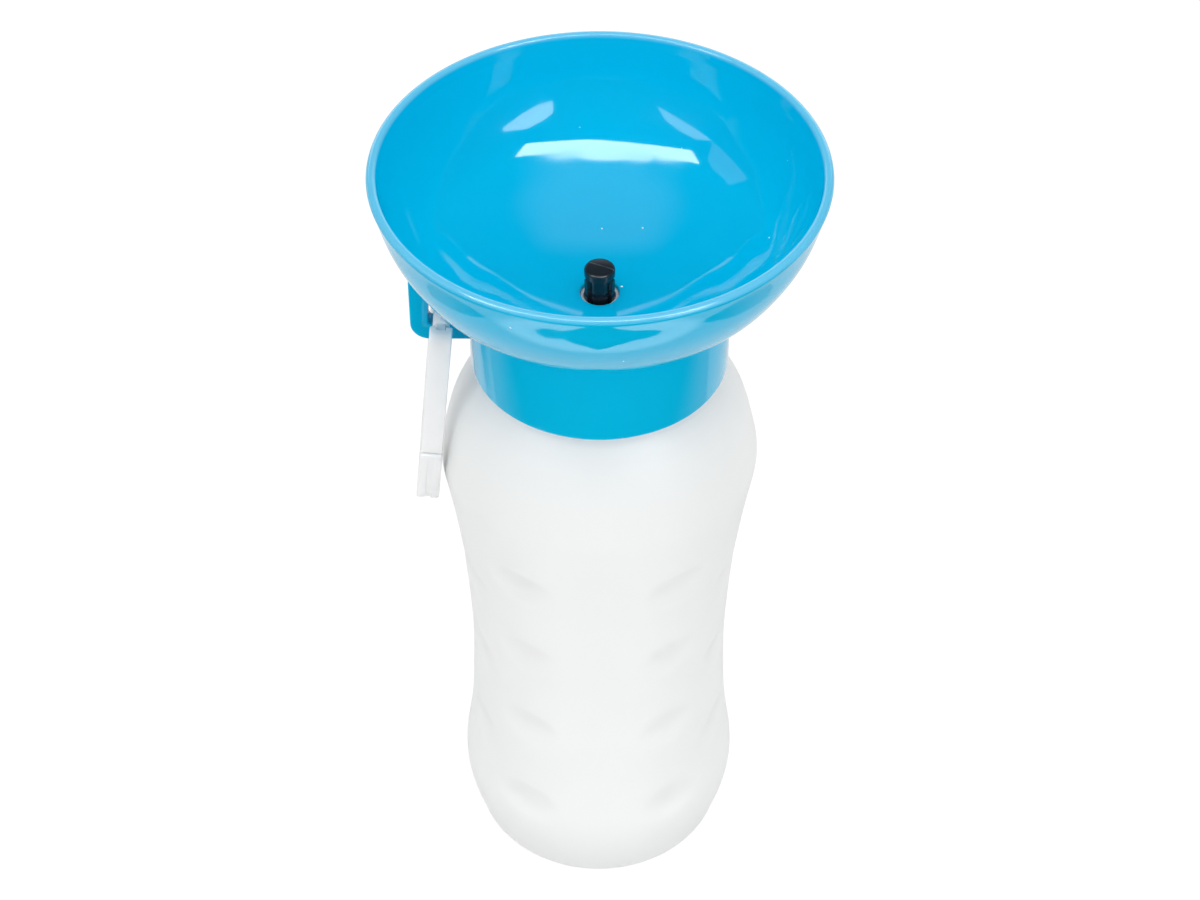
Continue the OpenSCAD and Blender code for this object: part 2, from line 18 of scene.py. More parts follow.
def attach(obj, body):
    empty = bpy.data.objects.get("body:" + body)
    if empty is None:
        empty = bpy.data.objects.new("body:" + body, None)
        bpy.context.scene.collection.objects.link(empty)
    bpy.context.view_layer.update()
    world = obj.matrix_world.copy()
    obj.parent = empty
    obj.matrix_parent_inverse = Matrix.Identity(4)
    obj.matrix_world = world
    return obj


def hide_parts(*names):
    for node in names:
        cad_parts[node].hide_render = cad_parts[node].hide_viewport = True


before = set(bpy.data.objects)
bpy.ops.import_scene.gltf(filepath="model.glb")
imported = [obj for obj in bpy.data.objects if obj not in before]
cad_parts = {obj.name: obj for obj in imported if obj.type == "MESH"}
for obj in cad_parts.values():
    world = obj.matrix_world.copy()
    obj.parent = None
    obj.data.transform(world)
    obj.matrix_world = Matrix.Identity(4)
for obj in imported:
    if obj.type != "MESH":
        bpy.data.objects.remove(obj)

MM = 0.001
WELD = 1e-6  # metres under which two points of a mesh are one
SOFT_BEND = 60.0  # degrees between the faces of thin round wire that still shade smoothly
MITRE_LEAST = 0.35  # keeps a sharp corner from being drawn in too far
OVERSHOOT = 1.0  # millimetres by which a cutter passes the face that it cuts
WHITE = (1.0, 1.0, 1.0, 1.0)
Point = tuple[float, float]
Outline = list[Point]
log = logging.getLogger("water_bottle")


class Body(Enum):
    """The bodies of the frame that carry a piece."""

    BOTTLE = "bottle"
    CAP = "cap"
    VALVE = "valve"
    HOOK = "hook"
    GATE = "gate"


class Join(Enum):
    """Ways in which one solid is worked with another."""

    ADD = "UNION"
    CUT = "DIFFERENCE"
    KEEP = "INTERSECT"


# Lines and outlines

def lerp(a: float, b: float, t: float) -> float:
    """Returns the value at share t of the way from a to b."""
    return a + (b - a) * t


def arc(centre: Point, radius: float, start: float, end: float, steps: int) -> Outline:
    """Makes points on an arc.

    Args:
        centre: middle of the arc.
        radius: its radius.
        start: angle of the first point, in degrees from the first axis.
        end: angle of the last point.
        steps: number of steps between the two.

    Returns:
        The points, with both ends.
    """
    angles = [math.radians(lerp(start, end, i / steps)) for i in range(steps + 1)]
    return [(centre[0] + radius * math.cos(a), centre[1] + radius * math.sin(a)) for a in angles]


def fair_line(points: Outline, spacing: float) -> Outline:
    """Draws a fair curve through points, a natural cubic spline over their chord lengths.

    Args:
        points: the points that the curve passes through.
        spacing: greatest distance between two points of the result.

    Returns:
        The curve as a list of points.
    """
    p = np.array(points, float)
    count = len(p)
    step = np.hypot(*(p[1:] - p[:-1]).T)
    system, known = np.eye(count), np.zeros((count, 2))
    for i in range(1, count - 1):
        system[i, i - 1:i + 2] = step[i - 1], 2 * (step[i - 1] + step[i]), step[i]
        known[i] = 6 * ((p[i + 1] - p[i]) / step[i] - (p[i] - p[i - 1]) / step[i - 1])
    bend = np.linalg.solve(system, known)
    line = []
    for i in range(count - 1):
        h, parts = step[i], max(1, math.ceil(step[i] / spacing))
        for s in range(parts):
            b = h * s / parts
            a = h - b
            line.append(bend[i] * a ** 3 / (6 * h) + bend[i + 1] * b ** 3 / (6 * h)
                        + (p[i] / h - bend[i] * h / 6) * a + (p[i + 1] / h - bend[i + 1] * h / 6) * b)
    line.append(p[-1])
    return [(float(x), float(z)) for x, z in line]


def moved(points: Outline, distance: float) -> Outline:
    """Moves an open line sideways.

    Args:
        points: the line.
        distance: how far it moves to the left of its direction.

    Returns:
        The moved line.
    """
    p = np.array(points, float)
    along = np.gradient(p, axis=0)
    along /= np.linalg.norm(along, axis=1)[:, None]
    return [(float(x), float(z)) for x, z in p + distance * np.stack([-along[:, 1], along[:, 0]], 1)]


def split_up(points: Outline, spacing: float) -> Outline:
    """Adds points to the straight stretches of a line.

    Args:
        points: the line.
        spacing: greatest distance between two points of the result.

    Returns:
        The line with its added points.
    """
    line = []
    for a, b in zip(points, points[1:]):
        parts = max(1, math.ceil(math.dist(a, b) / spacing))
        line += [(lerp(a[0], b[0], s / parts), lerp(a[1], b[1], s / parts)) for s in range(parts)]
    return line + [points[-1]]


def rounded(points: Outline, radii: dict[int, float], steps: int = 4) -> Outline:
    """Rounds corners of an outline with arcs that touch both sides.

    Args:
        points: the outline, open or closed by its last side.
        radii: radius for each corner that is rounded, by the corner's place in the list.
        steps: number of steps in each arc.

    Returns:
        The outline with its rounded corners.
    """
    line = []
    for i, corner in enumerate(points):
        radius = radii.get(i, 0.0)
        if not radius:
            line.append(corner)
            continue
        here = Vector(corner)
        before = (Vector(points[i - 1]) - here).normalized()
        after = (Vector(points[(i + 1) % len(points)]) - here).normalized()
        half = before.angle(after) / 2
        centre = here + (before + after).normalized() * (radius / math.sin(half))
        first = here + before * (radius / math.tan(half)) - centre
        last = here + after * (radius / math.tan(half)) - centre
        sweep = first.angle_signed(last)
        for s in range(steps + 1):
            spot = centre + Matrix.Rotation(-sweep * s / steps, 2) @ first
            line.append((spot.x, spot.y))
    return line


def radius_at(points: Outline, z: float) -> float:
    """Finds the radius of a rising line at a height.

    Args:
        points: (radius, height) points of the line.
        z: the height.

    Returns:
        The radius, or that of the last point past the line's end.
    """
    for (r0, z0), (r1, z1) in zip(points, points[1:]):
        if z0 <= z < z1:
            return lerp(r0, r1, (z - z0) / (z1 - z0))
    return points[-1][0]


def height_at(points: Outline, radius: float) -> float:
    """Finds the height of a widening line at a radius.

    Args:
        points: (radius, height) points of the line.
        radius: the radius.

    Returns:
        The height, or that of the last point past the line's end.
    """
    for (r0, z0), (r1, z1) in zip(points, points[1:]):
        if r0 <= radius < r1:
            return lerp(z0, z1, (radius - r0) / (r1 - r0))
    return points[-1][1]


# Node trees

class Graph:
    """Adds nodes to a tree and joins them, so that a tree reads as a list of steps."""

    def __init__(self, tree: bpy.types.NodeTree) -> None:
        """Starts on a tree."""
        self.tree = tree

    @classmethod
    def emptied(cls, owner: bpy.types.Material | bpy.types.World) -> "Graph":
        """Starts on the tree of a material or world, with its nodes taken out.

        Args:
            owner: the material or world.

        Returns:
            The graph of its tree.
        """
        owner.use_nodes = True
        owner.node_tree.nodes.clear()
        return cls(owner.node_tree)

    @classmethod
    def group(cls, name: str, kind: str, inputs: dict[str, tuple[str, object]],
              outputs: dict[str, str]) -> "Graph":
        """Makes a new node group.

        Args:
            name: name of the group.
            kind: type of its tree.
            inputs: type and starting value of each input, by its name.
            outputs: type of each output, by its name.

        Returns:
            The graph of the new group.
        """
        graph = cls(bpy.data.node_groups.new(name, kind))
        for label, (socket, value) in inputs.items():
            made = graph.tree.interface.new_socket(label, in_out="INPUT",
                                                   socket_type="NodeSocket" + socket)
            if value is not None:
                made.default_value = value
        for label, socket in outputs.items():
            graph.tree.interface.new_socket(label, in_out="OUTPUT", socket_type="NodeSocket" + socket)
        return graph

    def node(self, kind: str, inputs: dict[str | int, object] | None = None,
             **settings: object) -> bpy.types.Node:
        """Adds a node.

        Args:
            kind: type of the node.
            inputs: value or linked socket for each input, by name or place.
            **settings: the node's own settings.

        Returns:
            The node.
        """
        node = self.tree.nodes.new(kind)
        for name, value in settings.items():
            setattr(node, name, value)
        for key, value in (inputs or {}).items():
            self.feed(node.inputs[key], value)
        return node

    def feed(self, socket: bpy.types.NodeSocket, value: object) -> None:
        """Links a socket to another one, or sets its value.

        Args:
            socket: the socket that is fed.
            value: the other socket or the value.
        """
        if isinstance(value, bpy.types.NodeSocket):
            self.tree.links.new(value, socket)
        else:
            socket.default_value = value

    def math(self, operation: str, *values: object, clamp: bool = False) -> bpy.types.NodeSocket:
        """Returns the result of a sum on sockets or numbers."""
        inputs = dict(enumerate(values))
        return self.node("ShaderNodeMath", inputs, operation=operation, use_clamp=clamp).outputs[0]

    def ramp(self, value: object, low: float, high: float, to_low: float = 0.0,
             to_high: float = 1.0) -> bpy.types.NodeSocket:
        """Returns a value carried over smoothly from one span to another."""
        inputs = {0: value, 1: low, 2: high, 3: to_low, 4: to_high}
        return self.node("ShaderNodeMapRange", inputs, interpolation_type="SMOOTHSTEP").outputs[0]

    def part(self, vector: bpy.types.NodeSocket, axis: int) -> bpy.types.NodeSocket:
        """Returns one part of a vector."""
        return self.node("ShaderNodeSeparateXYZ", {0: vector}).outputs[axis]

    def place(self) -> bpy.types.NodeSocket:
        """Returns the place on the object, in metres."""
        return self.node("ShaderNodeTexCoord").outputs["Object"]

    def tint(self, mask: bpy.types.NodeSocket, colour: bpy.types.NodeSocket,
             other: tuple[float, float, float]) -> bpy.types.NodeSocket:
        """Returns a colour that turns into another one where a mask is 1."""
        inputs = {0: mask, 6: colour, 7: (*other, 1.0)}
        return self.node("ShaderNodeMix", inputs, data_type="RGBA").outputs[2]

    def glow(self, strength: object) -> bpy.types.NodeSocket:
        """Returns white light of a strength."""
        return self.node("ShaderNodeEmission", {"Color": WHITE, "Strength": strength}).outputs[0]

    def group_node(self, group: bpy.types.NodeTree, inputs: dict[str, object]) -> bpy.types.Node:
        """Places a node group.

        Args:
            group: the group.
            inputs: value or linked socket for each of its inputs, by name.

        Returns:
            The node of the group.
        """
        kind = self.tree.bl_idname.replace("Tree", "Group")
        node = self.tree.nodes.new(kind)
        node.node_tree = group
        for key, value in inputs.items():
            self.feed(node.inputs[key], value)
        return node


# Solids

def new_object(name: str, data: bpy.types.ID) -> bpy.types.Object:
    """Puts data in the scene as an object at the origin.

    Args:
        name: name of the object.
        data: its mesh, curve, lamp or camera.

    Returns:
        The object.
    """
    made = bpy.data.objects.new(name, data)
    bpy.context.scene.collection.objects.link(made)
    return made


def drop(thing: bpy.types.Object) -> None:
    """Takes an object out of the file."""
    bpy.data.objects.remove(thing, do_unlink=True)


def baked(thing: bpy.types.Object) -> bpy.types.Object:
    """Turns an object with modifiers into a plain mesh.

    Args:
        thing: mesh or curve object, which is taken out of the file.

    Returns:
        The mesh object, under the same name and at the origin.
    """
    bpy.context.view_layer.update()
    graph = bpy.context.evaluated_depsgraph_get()
    mesh = bpy.data.meshes.new_from_object(thing.evaluated_get(graph), depsgraph=graph)
    name = thing.name
    drop(thing)
    mesh.name = name
    return new_object(name, mesh)


def worked(target: bpy.types.Object, how: Join, *tools: bpy.types.Object) -> bpy.types.Object:
    """Joins solids to another, or cuts them out of it.

    Args:
        target: the solid that is worked.
        how: what the tools do to it.
        *tools: the other solids, which are taken out of the file.

    Returns:
        The worked solid.
    """
    for tool in tools:
        step = target.modifiers.new("work", "BOOLEAN")
        step.operation = how.value
        step.solver = "EXACT"
        step.object = tool
    target = baked(target)
    for tool in tools:
        drop(tool)
    return target


def smoothed(thing: bpy.types.Object, angle: float = 35.0) -> bpy.types.Object:
    """Shades a mesh smoothly, with sharp edges where its faces turn a corner.

    Args:
        thing: the mesh object.
        angle: angle between faces, in degrees, above which their edge is sharp.

    Returns:
        The same object.
    """
    shape = bmesh.new()
    shape.from_mesh(thing.data)
    bmesh.ops.remove_doubles(shape, verts=shape.verts, dist=WELD)
    bmesh.ops.dissolve_degenerate(shape, edges=shape.edges, dist=WELD)
    shape.to_mesh(thing.data)
    shape.free()
    thing.data.shade_smooth()
    thing.data.set_sharp_from_angle(angle=math.radians(angle))
    return thing


def profile_curve(name: str, outline: Outline, closed: bool) -> bpy.types.Object:
    """Makes the curve that a turned piece is turned from.

    Args:
        name: name of the piece.
        outline: (radius, height) points in millimetres, running up on the outside.
        closed: True for a ring, False where both ends lie on the axis.

    Returns:
        The curve object.
    """
    curve = bpy.data.curves.new(name, "CURVE")
    curve.dimensions = "3D"
    spline = curve.splines.new("POLY")
    spline.points.add(len(outline) - 1)
    for spot, (radius, z) in zip(spline.points, reversed(outline)):
        spot.co = (radius * MM - Turning.PATH_RADIUS, -z * MM, 0.0, 1.0)
    spline.use_cyclic_u = closed
    return new_object(name, curve)


class Turning:
    """The node trees that turn a profile about the bottle's axis, and what is formed on the turned wall."""

    PATH_RADIUS = 0.01
    MERGE = 2e-6
    NEAR_WALL = 0.0002  # a thread ridge rises only this close to the radius that it stands on
    trees: dict[str, bpy.types.NodeTree] = {}

    @classmethod
    def tree(cls, name: str) -> bpy.types.NodeTree:
        """Gives one of the trees, which is made the first time that it is asked for.

        Args:
            name: what follows make_ in the name of the method that makes it.

        Returns:
            The tree.
        """
        if name not in cls.trees:
            cls.trees[name] = getattr(cls, "make_" + name)()
        return cls.trees[name]

    @classmethod
    def make_turned(cls) -> bpy.types.NodeTree:
        """Makes the tree that sweeps a profile round the axis and closes its poles.

        Returns:
            The tree, with the wall as its output.
        """
        graph = Graph.group("turned_wall", "GeometryNodeTree",
                            {"Profile": ("Geometry", None), "Segments": ("Int", 192)}, {"Wall": "Geometry"})
        start = graph.node("NodeGroupInput")
        path = graph.node("GeometryNodeCurvePrimitiveCircle",
                          {"Resolution": start.outputs["Segments"], "Radius": cls.PATH_RADIUS})
        sweep = graph.node("GeometryNodeCurveToMesh",
                           {"Curve": path.outputs["Curve"], "Profile Curve": start.outputs["Profile"]})
        merge = graph.node("GeometryNodeMergeByDistance",
                           {"Geometry": sweep.outputs["Mesh"], "Distance": cls.MERGE})
        graph.node("NodeGroupOutput", {"Wall": merge.outputs["Geometry"]})
        return graph.tree

    @classmethod
    def make_polar(cls) -> bpy.types.NodeTree:
        """Makes the group that tells where a point lies round the axis.

        Returns:
            The group, with the point's radius, its turn from +X in turns, its turn from the front or back
            in radians and its height as outputs.
        """
        graph = Graph.group("polar_place", "GeometryNodeTree", {},
                            {"Radius": "Float", "Turn": "Float", "Fold": "Float", "Height": "Float"})
        place = graph.node("ShaderNodeSeparateXYZ", {0: graph.node("GeometryNodeInputPosition").outputs[0]})
        x, y, z = place.outputs
        square = graph.math("ADD", graph.math("MULTIPLY", x, x), graph.math("MULTIPLY", y, y))
        turn = graph.math("DIVIDE", graph.math("ARCTAN2", y, x), math.tau)
        fold = graph.math("ARCTAN2", graph.math("ABSOLUTE", x), graph.math("ABSOLUTE", y))
        graph.node("NodeGroupOutput", {"Radius": graph.math("SQRT", square),
                                       "Turn": graph.math("FRACT", turn), "Fold": fold, "Height": z})
        return graph.tree

    @classmethod
    def make_groove(cls) -> bpy.types.NodeTree:
        """Makes the group that presses one finger groove, mirrored to all four quarters, into a wall.

        Returns:
            The group, with the pressed wall's radius as its output.
        """
        floats = {"Radius": 0.0, "Height": 0.0, "Fold": 0.0, "Column": 0.6, "Level": 0.03,
                  "Cutter": 0.015, "Reach": 0.05, "Softness": 0.0003}
        graph = Graph.group("finger_groove", "GeometryNodeTree",
                            {name: ("Float", value) for name, value in floats.items()}, {"Radius": "Float"})
        start = graph.node("NodeGroupInput").outputs
        rise = graph.math("SUBTRACT", start["Height"], start["Level"])
        chord = graph.math("SUBTRACT", graph.math("MULTIPLY", start["Cutter"], start["Cutter"]),
                           graph.math("MULTIPLY", rise, rise))
        depth = graph.math("SQRT", graph.math("MAXIMUM", chord, 0.0))
        turn = graph.math("COSINE", graph.math("SUBTRACT", start["Fold"], start["Column"]))
        cut = graph.math("DIVIDE", graph.math("SUBTRACT", start["Reach"], depth), turn)
        inside = graph.math("SMOOTH_MIN", start["Radius"], cut, start["Softness"])
        graph.node("NodeGroupOutput", {"Radius": inside})
        return graph.tree

    @classmethod
    def make_thread(cls) -> bpy.types.NodeTree:
        """Makes the group that raises a thread ridge, with run-outs, on the wall at one radius.

        Returns:
            The group, with the threaded wall's radius as its output.
        """
        floats = {"Radius": 0.0, "Height": 0.0, "Turn": 0.0, "Wall": 0.03, "Start": 0.18, "Pitch": 0.004,
                  "Turns": 1.5, "Ridge": 0.002, "Base": 0.0025, "Crest": 0.001, "Run out": 0.11}
        graph = Graph.group("thread_ridge", "GeometryNodeTree",
                            {name: ("Float", value) for name, value in floats.items()}, {"Radius": "Float"})
        start = graph.node("NodeGroupInput").outputs
        climb = graph.math("DIVIDE", graph.math("SUBTRACT", start["Height"], start["Start"]), start["Pitch"])
        whole = graph.math("ROUND", graph.math("SUBTRACT", climb, start["Turn"]))
        travel = graph.math("ADD", graph.math("MAXIMUM", whole, 0.0), start["Turn"])
        miss = graph.math("SUBTRACT", climb, travel)
        off = graph.math("ABSOLUTE", graph.math("MULTIPLY", miss, start["Pitch"]))
        half_base = graph.math("MULTIPLY", start["Base"], 0.5)
        half_crest = graph.math("MULTIPLY", start["Crest"], 0.5)
        flank = graph.math("DIVIDE", graph.math("SUBTRACT", half_base, off),
                           graph.math("SUBTRACT", half_base, half_crest), clamp=True)
        left = graph.math("MINIMUM", travel, graph.math("SUBTRACT", start["Turns"], travel))
        fade = graph.math("DIVIDE", left, start["Run out"], clamp=True)
        away = graph.math("ABSOLUTE", graph.math("SUBTRACT", start["Radius"], start["Wall"]))
        near = graph.math("LESS_THAN", away, cls.NEAR_WALL)
        ridge = graph.math("MULTIPLY", graph.math("MULTIPLY", flank, fade),
                           graph.math("MULTIPLY", near, start["Ridge"]))
        graph.node("NodeGroupOutput", {"Radius": graph.math("ADD", start["Radius"], ridge)})
        return graph.tree

    @classmethod
    def lathe(cls, name: str, outline: Outline, closed: bool, segments: int, finish: bpy.types.Material,
              form: list[tuple[str, dict[str, float]]] = ()) -> bpy.types.Object:
        """Turns a profile about the axis and forms its wall.

        Args:
            name: name of the piece.
            outline: (radius, height) points in millimetres, running up on the outside.
            closed: True for a ring, False where both ends lie on the axis.
            segments: number of faces round the axis.
            finish: material of the piece.
            form: grooves and thread ridges, each a tree's name and its sizes in metres or radians.

        Returns:
            The turned piece as a plain mesh.
        """
        graph = Graph.group(name + "_form", "GeometryNodeTree",
                            {"Profile": ("Geometry", None), "Segments": ("Int", segments)},
                            {"Piece": "Geometry"})
        start = graph.node("NodeGroupInput")
        wall = graph.group_node(cls.tree("turned"), {"Profile": start.outputs["Profile"],
                                                     "Segments": start.outputs["Segments"]}).outputs[0]
        if form:
            place = graph.group_node(cls.tree("polar"), {}).outputs
            radius = place["Radius"]
            for tree, sizes in form:
                angle = "Fold" if tree == "groove" else "Turn"
                spots = {"Radius": radius, "Height": place["Height"], angle: place[angle]}
                radius = graph.group_node(cls.tree(tree), spots | sizes).outputs["Radius"]
            share = graph.math("DIVIDE", radius, place["Radius"])
            spot = graph.node("GeometryNodeInputPosition").outputs[0]
            flat = graph.node("ShaderNodeCombineXYZ", {0: share, 1: share, 2: 1.0}).outputs[0]
            spread = graph.node("ShaderNodeVectorMath", {0: spot, 1: flat}, operation="MULTIPLY").outputs[0]
            wall = graph.node("GeometryNodeSetPosition", {"Geometry": wall, "Position": spread}).outputs[0]
        whole = graph.node("GeometryNodeRealizeInstances", {0: wall}).outputs[0]
        dressed = graph.node("GeometryNodeSetMaterial", {"Geometry": whole, "Material": finish}).outputs[0]
        graph.node("NodeGroupOutput", {"Piece": dressed})
        piece = profile_curve(name, outline, closed)
        modifier = piece.modifiers.new("form", "NODES")
        modifier.node_group = graph.tree
        count = graph.tree.interface.items_tree["Segments"].identifier
        modifier[count] = segments
        return smoothed(baked(piece))


def ring_of(thing: bpy.types.Object, count: int, first: float) -> bpy.types.Object:
    """Repeats a solid round the bottle's axis.

    Args:
        thing: the solid, which points along +X and is taken out of the file.
        count: how many there are.
        first: turn of the first one from +X, in degrees.

    Returns:
        One mesh of all the copies.
    """
    graph = Graph.group(thing.name + "_ring", "GeometryNodeTree",
                        {"Solid": ("Geometry", None), "Count": ("Int", count), "First": ("Float", 0.0)},
                        {"Ring": "Geometry"})
    start = graph.node("NodeGroupInput")
    spots = graph.node("GeometryNodePoints", {"Count": start.outputs["Count"], "Position": (0.0, 0.0, 0.0)})
    place = graph.node("GeometryNodeInputIndex").outputs[0]
    step = graph.math("DIVIDE", math.tau, start.outputs["Count"])
    turn = graph.math("ADD", start.outputs["First"], graph.math("MULTIPLY", place, step))
    spin = graph.node("ShaderNodeCombineXYZ", {0: 0.0, 1: 0.0, 2: turn}).outputs[0]
    copies = graph.node("GeometryNodeInstanceOnPoints",
                        {"Points": spots.outputs[0], "Instance": start.outputs["Solid"], "Rotation": spin})
    whole = graph.node("GeometryNodeRealizeInstances", {0: copies.outputs[0]}).outputs[0]
    graph.node("NodeGroupOutput", {"Ring": whole})
    modifier = thing.modifiers.new("ring", "NODES")
    modifier.node_group = graph.tree
    modifier[graph.tree.interface.items_tree["Count"].identifier] = count
    modifier[graph.tree.interface.items_tree["First"].identifier] = math.radians(first)
    return baked(thing)


def coil(name: str, radius: float, wire: float, turns: float, length: float,
         finish: bpy.types.Material) -> bpy.types.Object:
    """Winds a coil spring that hangs down from the origin.

    Args:
        name: name of the piece.
        radius: radius of the wire's middle, in millimetres.
        wire: radius of the wire.
        turns: number of turns.
        length: height of the coil.
        finish: material of the spring.

    Returns:
        The spring as a plain mesh with closed ends.
    """
    steps_per_turn, wire_sides = 24, 10
    sizes = {"Radius": radius * MM, "Wire": wire * MM, "Turns": turns, "Length": length * MM}
    graph = Graph.group("coil_spring", "GeometryNodeTree", {"Base": ("Geometry", None)}
                        | {label: ("Float", value) for label, value in sizes.items()}, {"Spring": "Geometry"})
    start = graph.node("NodeGroupInput").outputs
    drop_down = graph.math("MULTIPLY", start["Length"], -1.0)
    helix = graph.node("GeometryNodeCurveSpiral", {
        "Resolution": steps_per_turn, "Rotations": start["Turns"], "Start Radius": start["Radius"],
        "End Radius": start["Radius"], "Height": drop_down, "Reverse": False})
    section = graph.node("GeometryNodeCurvePrimitiveCircle",
                         {"Resolution": wire_sides, "Radius": start["Wire"]})
    sweep = graph.node("GeometryNodeCurveToMesh", {
        "Curve": helix.outputs[0], "Profile Curve": section.outputs["Curve"], "Fill Caps": True})
    whole = graph.node("GeometryNodeRealizeInstances", {0: sweep.outputs[0]}).outputs[0]
    dressed = graph.node("GeometryNodeSetMaterial", {"Geometry": whole, "Material": finish}).outputs[0]
    graph.node("NodeGroupOutput", {"Spring": dressed})
    spring = new_object(name, bpy.data.meshes.new(name))
    modifier = spring.modifiers.new("wind", "NODES")
    modifier.node_group = graph.tree
    for label, value in sizes.items():
        modifier[graph.tree.interface.items_tree[label].identifier] = value
    return smoothed(baked(spring), SOFT_BEND)


@dataclass(frozen=True)
class Slice:
    """One outline of a plate: its place across, how far it is drawn in, and its channel's depth."""

    place: float
    inset: float = 0.0
    channel: float = 0.0


def slices(thickness: float, edge: float, channel_w: float = 0.0, channel_d: float = 0.0) -> list[Slice]:
    """Gives the outlines that make a plate with round edges.

    Args:
        thickness: thickness of the plate.
        edge: radius of its round edges.
        channel_w: width of a channel in the middle of its rim.
        channel_d: depth of that channel.

    Returns:
        The slices from one face to the other.
    """
    half = thickness / 2
    turns = [math.radians(a) for a in (0.0, 22.5, 45.0, 67.5, 90.0)]
    side = [Slice(-half + edge * (1 - math.sin(a)), edge * (1 - math.cos(a))) for a in reversed(turns)]
    if channel_w:
        slope, first_share = 0.12, 0.25
        side += [Slice(-channel_w / 2 - slope), Slice(-channel_w / 2, 0.0, first_share * channel_d),
                 Slice(-channel_w / 2 + slope, 0.0, channel_d)]
    return side + [Slice(-s.place, s.inset, s.channel) for s in reversed(side)]


def plate(name: str, outline: Outline, layers: list[Slice], rim: set[int] = frozenset()) -> bpy.types.Object:
    """Lofts a plate through slices of one outline.

    Args:
        name: name of the piece.
        outline: (across, up) points of the closed outline in millimetres, counter-clockwise.
        layers: the slices, along +X.
        rim: places in the outline where the channel runs.

    Returns:
        The plate, in the plane of Y and Z.
    """
    p = np.array(outline, float)
    side = np.roll(p, -1, 0) - p
    side /= np.linalg.norm(side, axis=1)[:, None]
    inward = np.stack([-side[:, 1], side[:, 0]], 1)
    corner = inward + np.roll(inward, 1, 0)
    corner /= np.maximum(MITRE_LEAST, (corner ** 2).sum(1) / 2)[:, None]
    cut = np.array([float(i in rim) for i in range(len(p))])[:, None]
    shape = bmesh.new()
    rings = []
    for layer in layers:
        ring = p + corner * (layer.inset + layer.channel * cut)
        rings.append([shape.verts.new((layer.place * MM, y * MM, z * MM)) for y, z in ring])
    for low, high in zip(rings, rings[1:]):
        for i in range(len(p)):
            k = (i + 1) % len(p)
            shape.faces.new((low[i], low[k], high[k], high[i]))
    shape.faces.new(reversed(rings[0]))
    shape.faces.new(rings[-1])
    bmesh.ops.recalc_face_normals(shape, faces=shape.faces)
    mesh = bpy.data.meshes.new(name)
    shape.to_mesh(mesh)
    shape.free()
    return new_object(name, mesh)


def rod(name: str, radius: float, low: float, high: float, edge: float = 0.0,
        segments: int = 48) -> bpy.types.Object:
    """Makes a round rod along +Z, with its sizes in millimetres.

    Args:
        name: name of the piece.
        radius: its radius.
        low: height of its lower end.
        high: height of its upper end.
        edge: radius of the round edges at its ends.
        segments: number of faces round it.

    Returns:
        The rod as a plain mesh.
    """
    outline = [(0.0, low), (radius, low), (radius, high), (0.0, high)]
    if edge:
        outline = rounded(outline, {1: edge, 2: edge})
    shape = bmesh.new()
    rings = []
    for r, z in outline[1:-1]:
        turns = [math.tau * i / segments for i in range(segments)]
        rings.append([shape.verts.new((r * MM * math.cos(a), r * MM * math.sin(a), z * MM)) for a in turns])
    for below, above in zip(rings, rings[1:]):
        for i in range(segments):
            k = (i + 1) % segments
            shape.faces.new((below[i], below[k], above[k], above[i]))
    shape.faces.new(reversed(rings[0]))
    shape.faces.new(rings[-1])
    mesh = bpy.data.meshes.new(name)
    shape.to_mesh(mesh)
    shape.free()
    return new_object(name, mesh)


def set_down(thing: bpy.types.Object, *moves: Matrix) -> bpy.types.Object:
    """Moves a mesh itself, and leaves its object at the origin.

    Args:
        thing: the mesh object.
        *moves: the moves, of which the last is made first.

    Returns:
        The same object.
    """
    for move in reversed(moves):
        thing.data.transform(move)
    return thing


# Finishes

def make_tone_drift() -> bpy.types.NodeTree:
    """Makes the group that lets a moulded colour wander slightly over a piece.

    Returns:
        The group, with the drifted colour as its output.
    """
    graph = Graph.group("tone_drift", "ShaderNodeTree", {
        "Place": ("Vector", None), "Colour": ("Color", (0.8, 0.8, 0.8, 1.0)), "Scale": ("Float", 30.0),
        "Amount": ("Float", 0.05)}, {"Colour": "Color"})
    start = graph.node("NodeGroupInput").outputs
    cloud = graph.node("ShaderNodeTexNoise", {"Vector": start["Place"], "Scale": start["Scale"],
                                              "Detail": 3.0, "Roughness": 0.55}).outputs[0]
    swing = graph.math("MULTIPLY", graph.math("SUBTRACT", cloud, 0.5), start["Amount"])
    level = graph.math("ADD", 1.0, graph.math("MULTIPLY", swing, 2.0))
    colour = graph.node("ShaderNodeVectorMath", {0: start["Colour"], 3: level}, operation="SCALE").outputs[0]
    graph.node("NodeGroupOutput", {"Colour": colour})
    return graph.tree


def make_moulded_surface() -> bpy.types.NodeTree:
    """Makes the group that gives the height of a moulded skin: its fine grain and its slow ripple.

    Returns:
        The group, with the height in metres as its output.
    """
    graph = Graph.group("moulded_surface", "ShaderNodeTree", {
        "Place": ("Vector", None), "Grain scale": ("Float", 3000.0), "Grain": ("Float", 1e-6),
        "Ripple scale": ("Float", 60.0), "Ripple": ("Float", 1e-5)}, {"Height": "Float"})
    start = graph.node("NodeGroupInput").outputs
    grain = graph.node("ShaderNodeTexNoise", {"Vector": start["Place"], "Scale": start["Grain scale"],
                                              "Detail": 2.0}).outputs[0]
    ripple = graph.node("ShaderNodeTexNoise", {"Vector": start["Place"], "Scale": start["Ripple scale"],
                                               "Detail": 0.0}).outputs[0]
    height = graph.math("ADD", graph.math("MULTIPLY", grain, start["Grain"]),
                        graph.math("MULTIPLY", ripple, start["Ripple"]))
    graph.node("NodeGroupOutput", {"Height": height})
    return graph.tree


